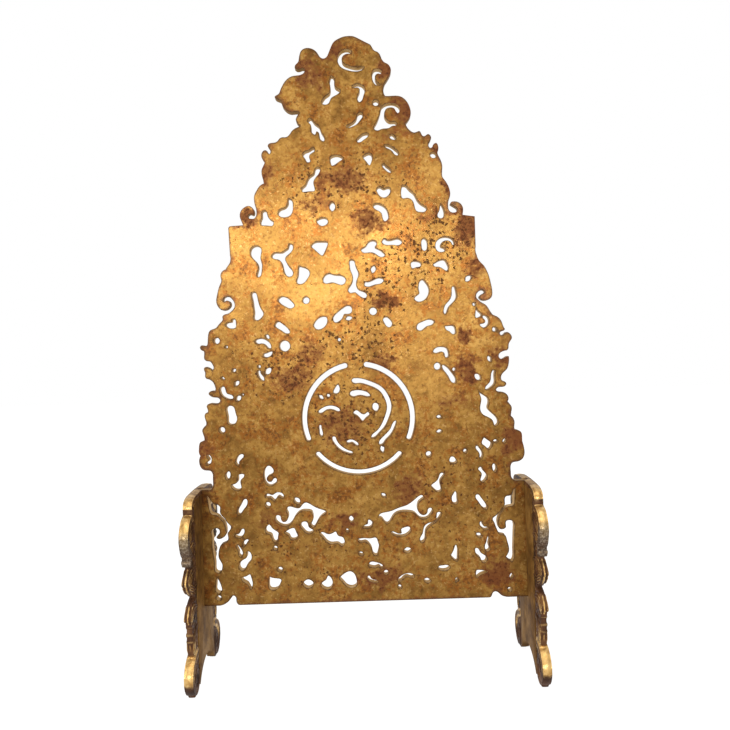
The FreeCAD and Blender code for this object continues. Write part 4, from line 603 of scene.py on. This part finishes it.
# Worn gold, browner towards the foot, with rust, pale flecks and grime in clusters
tone = combine(tree, "ADD", combine(tree, "MULTIPLY", clouds, 0.4), combine(tree, "MULTIPLY", patches, 0.6))
gold = colour_steps(tree, tone, [
    (0.34, (0.090, 0.040, 0.009)), (0.44, (0.200, 0.098, 0.022)), (0.54, (0.310, 0.162, 0.037)),
    (0.66, (0.430, 0.245, 0.066))])
gold = blend_colour(tree, between(tree, level, 230, 70, 0.0, 0.30), gold, (0.190, 0.095, 0.022, 1))
gold = blend_colour(tree, between(tree, mottle, 0.50, 0.64, 0.0, 0.65), gold, (0.150, 0.058, 0.014, 1))
rust = between(tree, combine(tree, "ADD", fleck, clusters), 0.50, 0.62, 0.0, 0.75)
gold = blend_colour(tree, rust, gold, (0.230, 0.076, 0.013, 1))
gold = blend_colour(tree, between(tree, speck, 0.42, 0.30, 0.0, 0.40), gold, (0.510, 0.320, 0.120, 1))
grime = between(tree, combine(tree, "ADD", speck, clusters), 0.60, 0.72, 0.0, 0.65)
gold = blend_colour(tree, grime, gold, (0.080, 0.032, 0.013, 1))

# Brown along the outline, and a thin dark rim round every opening, partly patina and partly painted shade at
# the edges
outline_near = add_node(tree, "ShaderNodeAttribute", attribute_name="border").outputs["Fac"]
border = combine(tree, "ADD", combine(tree, "MULTIPLY", outline_near, 0.9), fleck_swing)
border = combine(tree, "ADD", border, combine(tree, "MULTIPLY", clusters, 1.2))
gold = blend_colour(tree, between(tree, border, 0.55, 0.95, 0.0, 0.75), gold, (0.110, 0.045, 0.022, 1))
# Painted shade and patina: a dark band along the edge of every opening.
rim_patina_and_shade = add_node(tree, "ShaderNodeAttribute", attribute_name="rim").outputs["Fac"]
rim_patina_and_shade = combine(tree, "ADD", rim_patina_and_shade, combine(tree, "SUBTRACT", mottle, 0.5))
gold = blend_colour(tree, between(tree, rim_patina_and_shade, 0.48, 1.00, 0.0, 0.88), gold, (0.075, 0.040, 0.020, 1))

# Dulled areas and reddish stains
dulled = combine(tree, "MULTIPLY", spots_field(tree, ragged, DULLED), 0.55)
gold = blend_colour(tree, dulled, gold, blend_colour(tree, 1.0, gold, (0.50, 0.47, 0.42, 1), "MULTIPLY"))
glaze = combine(tree, "ADD", stain_field, combine(tree, "MULTIPLY", fleck_swing, 2.4))
glaze = between(tree, glaze, 0.25, 1.0, 0.0, 0.85)
gold = blend_colour(tree, glaze, gold, (0.150, 0.048, 0.017, 1))
stain_line = between(tree, stain_field, 0.0, 1.0, 0.70, 0.52)
stained = between(tree, combine(tree, "SUBTRACT", fleck, stain_line), -0.02, 0.05)
stain_colour = colour_steps(tree, mottle, [(0.35, (0.048, 0.017, 0.009)), (0.65, (0.125, 0.038, 0.015))])
gold = blend_colour(tree, combine(tree, "MULTIPLY", stained, 0.85), gold, stain_colour)

# Pits, more and larger of them where the casting is porous
wander = strayed(tree, in_mm, 0.9, 2.0, 0.0, 2.8)
cells = add_node(tree, "ShaderNodeTexVoronoi", {"Vector": wander, "Scale": 1 / 2.1})
lot = add_node(tree, "ShaderNodeSeparateColor", {"Color": cells.outputs["Color"]}).outputs[0]
pit_line = between(tree, spots_field(tree, ragged, PITTED), 0.0, 1.0, 0.88, 0.36)
pit_size = combine(tree, "MULTIPLY", combine(tree, "SUBTRACT", lot, pit_line), 0.85)
pits = between(tree, combine(tree, "SUBTRACT", pit_size, cells.outputs["Distance"]), -0.14, 0.05)
gold = blend_colour(tree, combine(tree, "MULTIPLY", pits, 0.9), gold, (0.066, 0.025, 0.010, 1))

# Brighter metal on the sawn walls of the openings, dark on the outer edge
facing = add_node(tree, "ShaderNodeNewGeometry").outputs["Normal"]
flat = add_node(tree, "ShaderNodeSeparateXYZ", {"Vector": facing}).outputs["Y"]
flat = add_node(tree, "ShaderNodeMath", {0: flat}, operation="ABSOLUTE").outputs["Value"]
flat = between(tree, flat, 0.35, 0.92)
sawn = colour_steps(tree, patches, [
    (0.32, (0.260, 0.150, 0.060)), (0.50, (0.480, 0.335, 0.175)), (0.66, (0.600, 0.455, 0.275))])
outer_edge = between(tree, outline_near, 0.8, 1.0, 0.0, 0.8)
sawn = blend_colour(tree, outer_edge, sawn, (0.110, 0.062, 0.030, 1))
gold = blend_colour(tree, flat, sawn, gold)
tree.links.new(gold, shader.inputs["Base Color"])

# Stains and pits are dull; the bare gilding shines, with slanting file marks in it
fouled = combine(tree, "MAXIMUM", glaze, combine(tree, "MAXIMUM", stained, pits))
bare = between(tree, combine(tree, "MULTIPLY", flat, fouled), 0.0, 0.9, 1.0, 0.25)
tree.links.new(combine(tree, "MULTIPLY", bare, 0.72), shader.inputs["Metallic"])
tree.links.new(combine(tree, "MULTIPLY", bare, 0.4), shader.inputs["Specular IOR Level"])
rough = between(tree, patches, 0.3, 0.7, 0.28, 0.42)
rough = combine(tree, "ADD", rough, combine(tree, "MULTIPLY", stained, 0.2))
tree.links.new(rough, shader.inputs["Roughness"])
file_way = add_node(tree, "ShaderNodeMapping", {
    "Vector": in_mm, "Rotation": (0, math.radians(-35), 0), "Scale": (22, 1.0, 0.55)}, vector_type="TEXTURE")
file_marks = add_node(tree, "ShaderNodeTexNoise", {
    "Vector": file_way.outputs["Vector"], "Scale": 1.0, "Detail": 2.0}).outputs["Fac"]
filed = combine(tree, "ADD", combine(tree, "MULTIPLY", spots_field(tree, ragged, FILED), 0.8), 0.25)
file_marks = combine(tree, "MULTIPLY", file_marks, filed)
raised = combine(tree, "MULTIPLY", grain, 0.35)
raised = combine(tree, "ADD", raised, combine(tree, "MULTIPLY", file_marks, 1.2))
raised = combine(tree, "SUBTRACT", raised, combine(tree, "MULTIPLY", pits, 0.9))
bump = add_node(tree, "ShaderNodeBump", {"Height": raised, "Strength": 0.45, "Distance": 0.00016})
tree.links.new(bump.outputs["Normal"], shader.inputs["Normal"])
panel.data.materials.append(filed_gilding)
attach(panel, "root")
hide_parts("pierced_panel")

# Stage: a plain pale floor under soft studio light, seen square on from a little above the table.
# Floor and backdrop look nearly white to the camera and in reflections, and give a softer light otherwise.
SENSOR = 36.0                                      # millimetres across
ACROSS, FOCAL, SHIFT_UP = 730.0, 780.0, -15.0      # pixels


def seen_directly(tree):
    """One for what the camera, a reflection or a view through something sees, zero for soft light."""
    path = add_node(tree, "ShaderNodeLightPath").outputs
    reflected = combine(tree, "MAXIMUM", path["Is Glossy Ray"], path["Is Transmission Ray"])
    return combine(tree, "MAXIMUM", path["Is Camera Ray"], reflected)


bpy.ops.object.select_all(action="DESELECT")
bpy.ops.mesh.primitive_grid_add(x_subdivisions=8, y_subdivisions=8, size=6, location=(0, 0, 0))
floor = bpy.context.active_object
floor.name = "pale_floor"
paper = bpy.data.materials.new("pale_paper")
paper.use_nodes = True
tree = paper.node_tree
tree.nodes.remove(tree.nodes["Principled BSDF"])
plain = add_node(tree, "ShaderNodeBsdfDiffuse", {"Color": (0.80, 0.80, 0.80, 1)}).outputs["BSDF"]
shaded = add_node(tree, "ShaderNodeBsdfDiffuse", {"Color": (0.20, 0.20, 0.20, 1)}).outputs["BSDF"]
white = add_node(tree, "ShaderNodeEmission", {"Color": (1, 1, 1, 1), "Strength": 0.93}).outputs["Emission"]
bright = add_node(tree, "ShaderNodeAddShader", {0: shaded, 1: white}).outputs["Shader"]
cover = add_node(tree, "ShaderNodeMixShader", {0: seen_directly(tree), 1: plain, 2: bright}).outputs["Shader"]
tree.links.new(cover, tree.nodes["Material Output"].inputs["Surface"])
floor.data.materials.append(paper)

world = bpy.data.worlds.new("pale_studio")
bpy.context.scene.world = world
world.use_nodes = True
tree = world.node_tree
soft_light = add_node(tree, "ShaderNodeBackground", {"Color": (1, 1, 1, 1), "Strength": 0.55})
backdrop = add_node(tree, "ShaderNodeBackground", {"Color": (1, 1, 1, 1), "Strength": 1.0})
sky = add_node(tree, "ShaderNodeMixShader", {
    0: seen_directly(tree), 1: soft_light.outputs["Background"], 2: backdrop.outputs["Background"]})
tree.links.new(sky.outputs["Shader"], tree.nodes["World Output"].inputs["Surface"])


def soft_box(name, place, aim, wide, high, watts):
    """A studio lamp with a flat rectangular face, turned towards a point."""
    lamp = bpy.data.lights.new(name, "AREA")
    lamp.shape = "RECTANGLE"
    lamp.size = wide
    lamp.size_y = high
    lamp.energy = watts
    holder = bpy.data.objects.new(name, lamp)
    bpy.context.scene.collection.objects.link(holder)
    turn = (Vector(place) - Vector(aim)).to_track_quat("Z", "Y").to_matrix().to_4x4()
    holder.matrix_world = Matrix.Translation(place) @ turn


soft_box("front_strip", (-0.14, -1.50, 0.44), (-0.03, 0, 0.264), 0.9, 0.12, 9.8)
soft_box("top_box", (0.1, -0.5, 1.6), (0, 0, 0.2), 1.2, 1.2, 10)
soft_box("side_box", (-1.3, -0.7, 0.6), (0, 0, 0.15), 0.7, 0.9, 6)

camera = bpy.data.objects.new("camera", bpy.data.cameras.new("camera"))
camera.data.sensor_width = SENSOR
camera.data.lens = SENSOR * FOCAL / ACROSS
camera.data.shift_y = SHIFT_UP / ACROSS
camera.data.clip_start = 0.01
bpy.context.scene.collection.objects.link(camera)
camera.matrix_world = Matrix((
    (0.99953240, 0.03057735, 0, 0.004112),
    (0, 0, -1, -0.507152),
    (-0.03057735, 0.99953240, 0, 0.206934),
    (0, 0, 0, 1)))
bpy.context.scene.camera = camera
bpy.context.scene.view_settings.view_transform = "Standard"
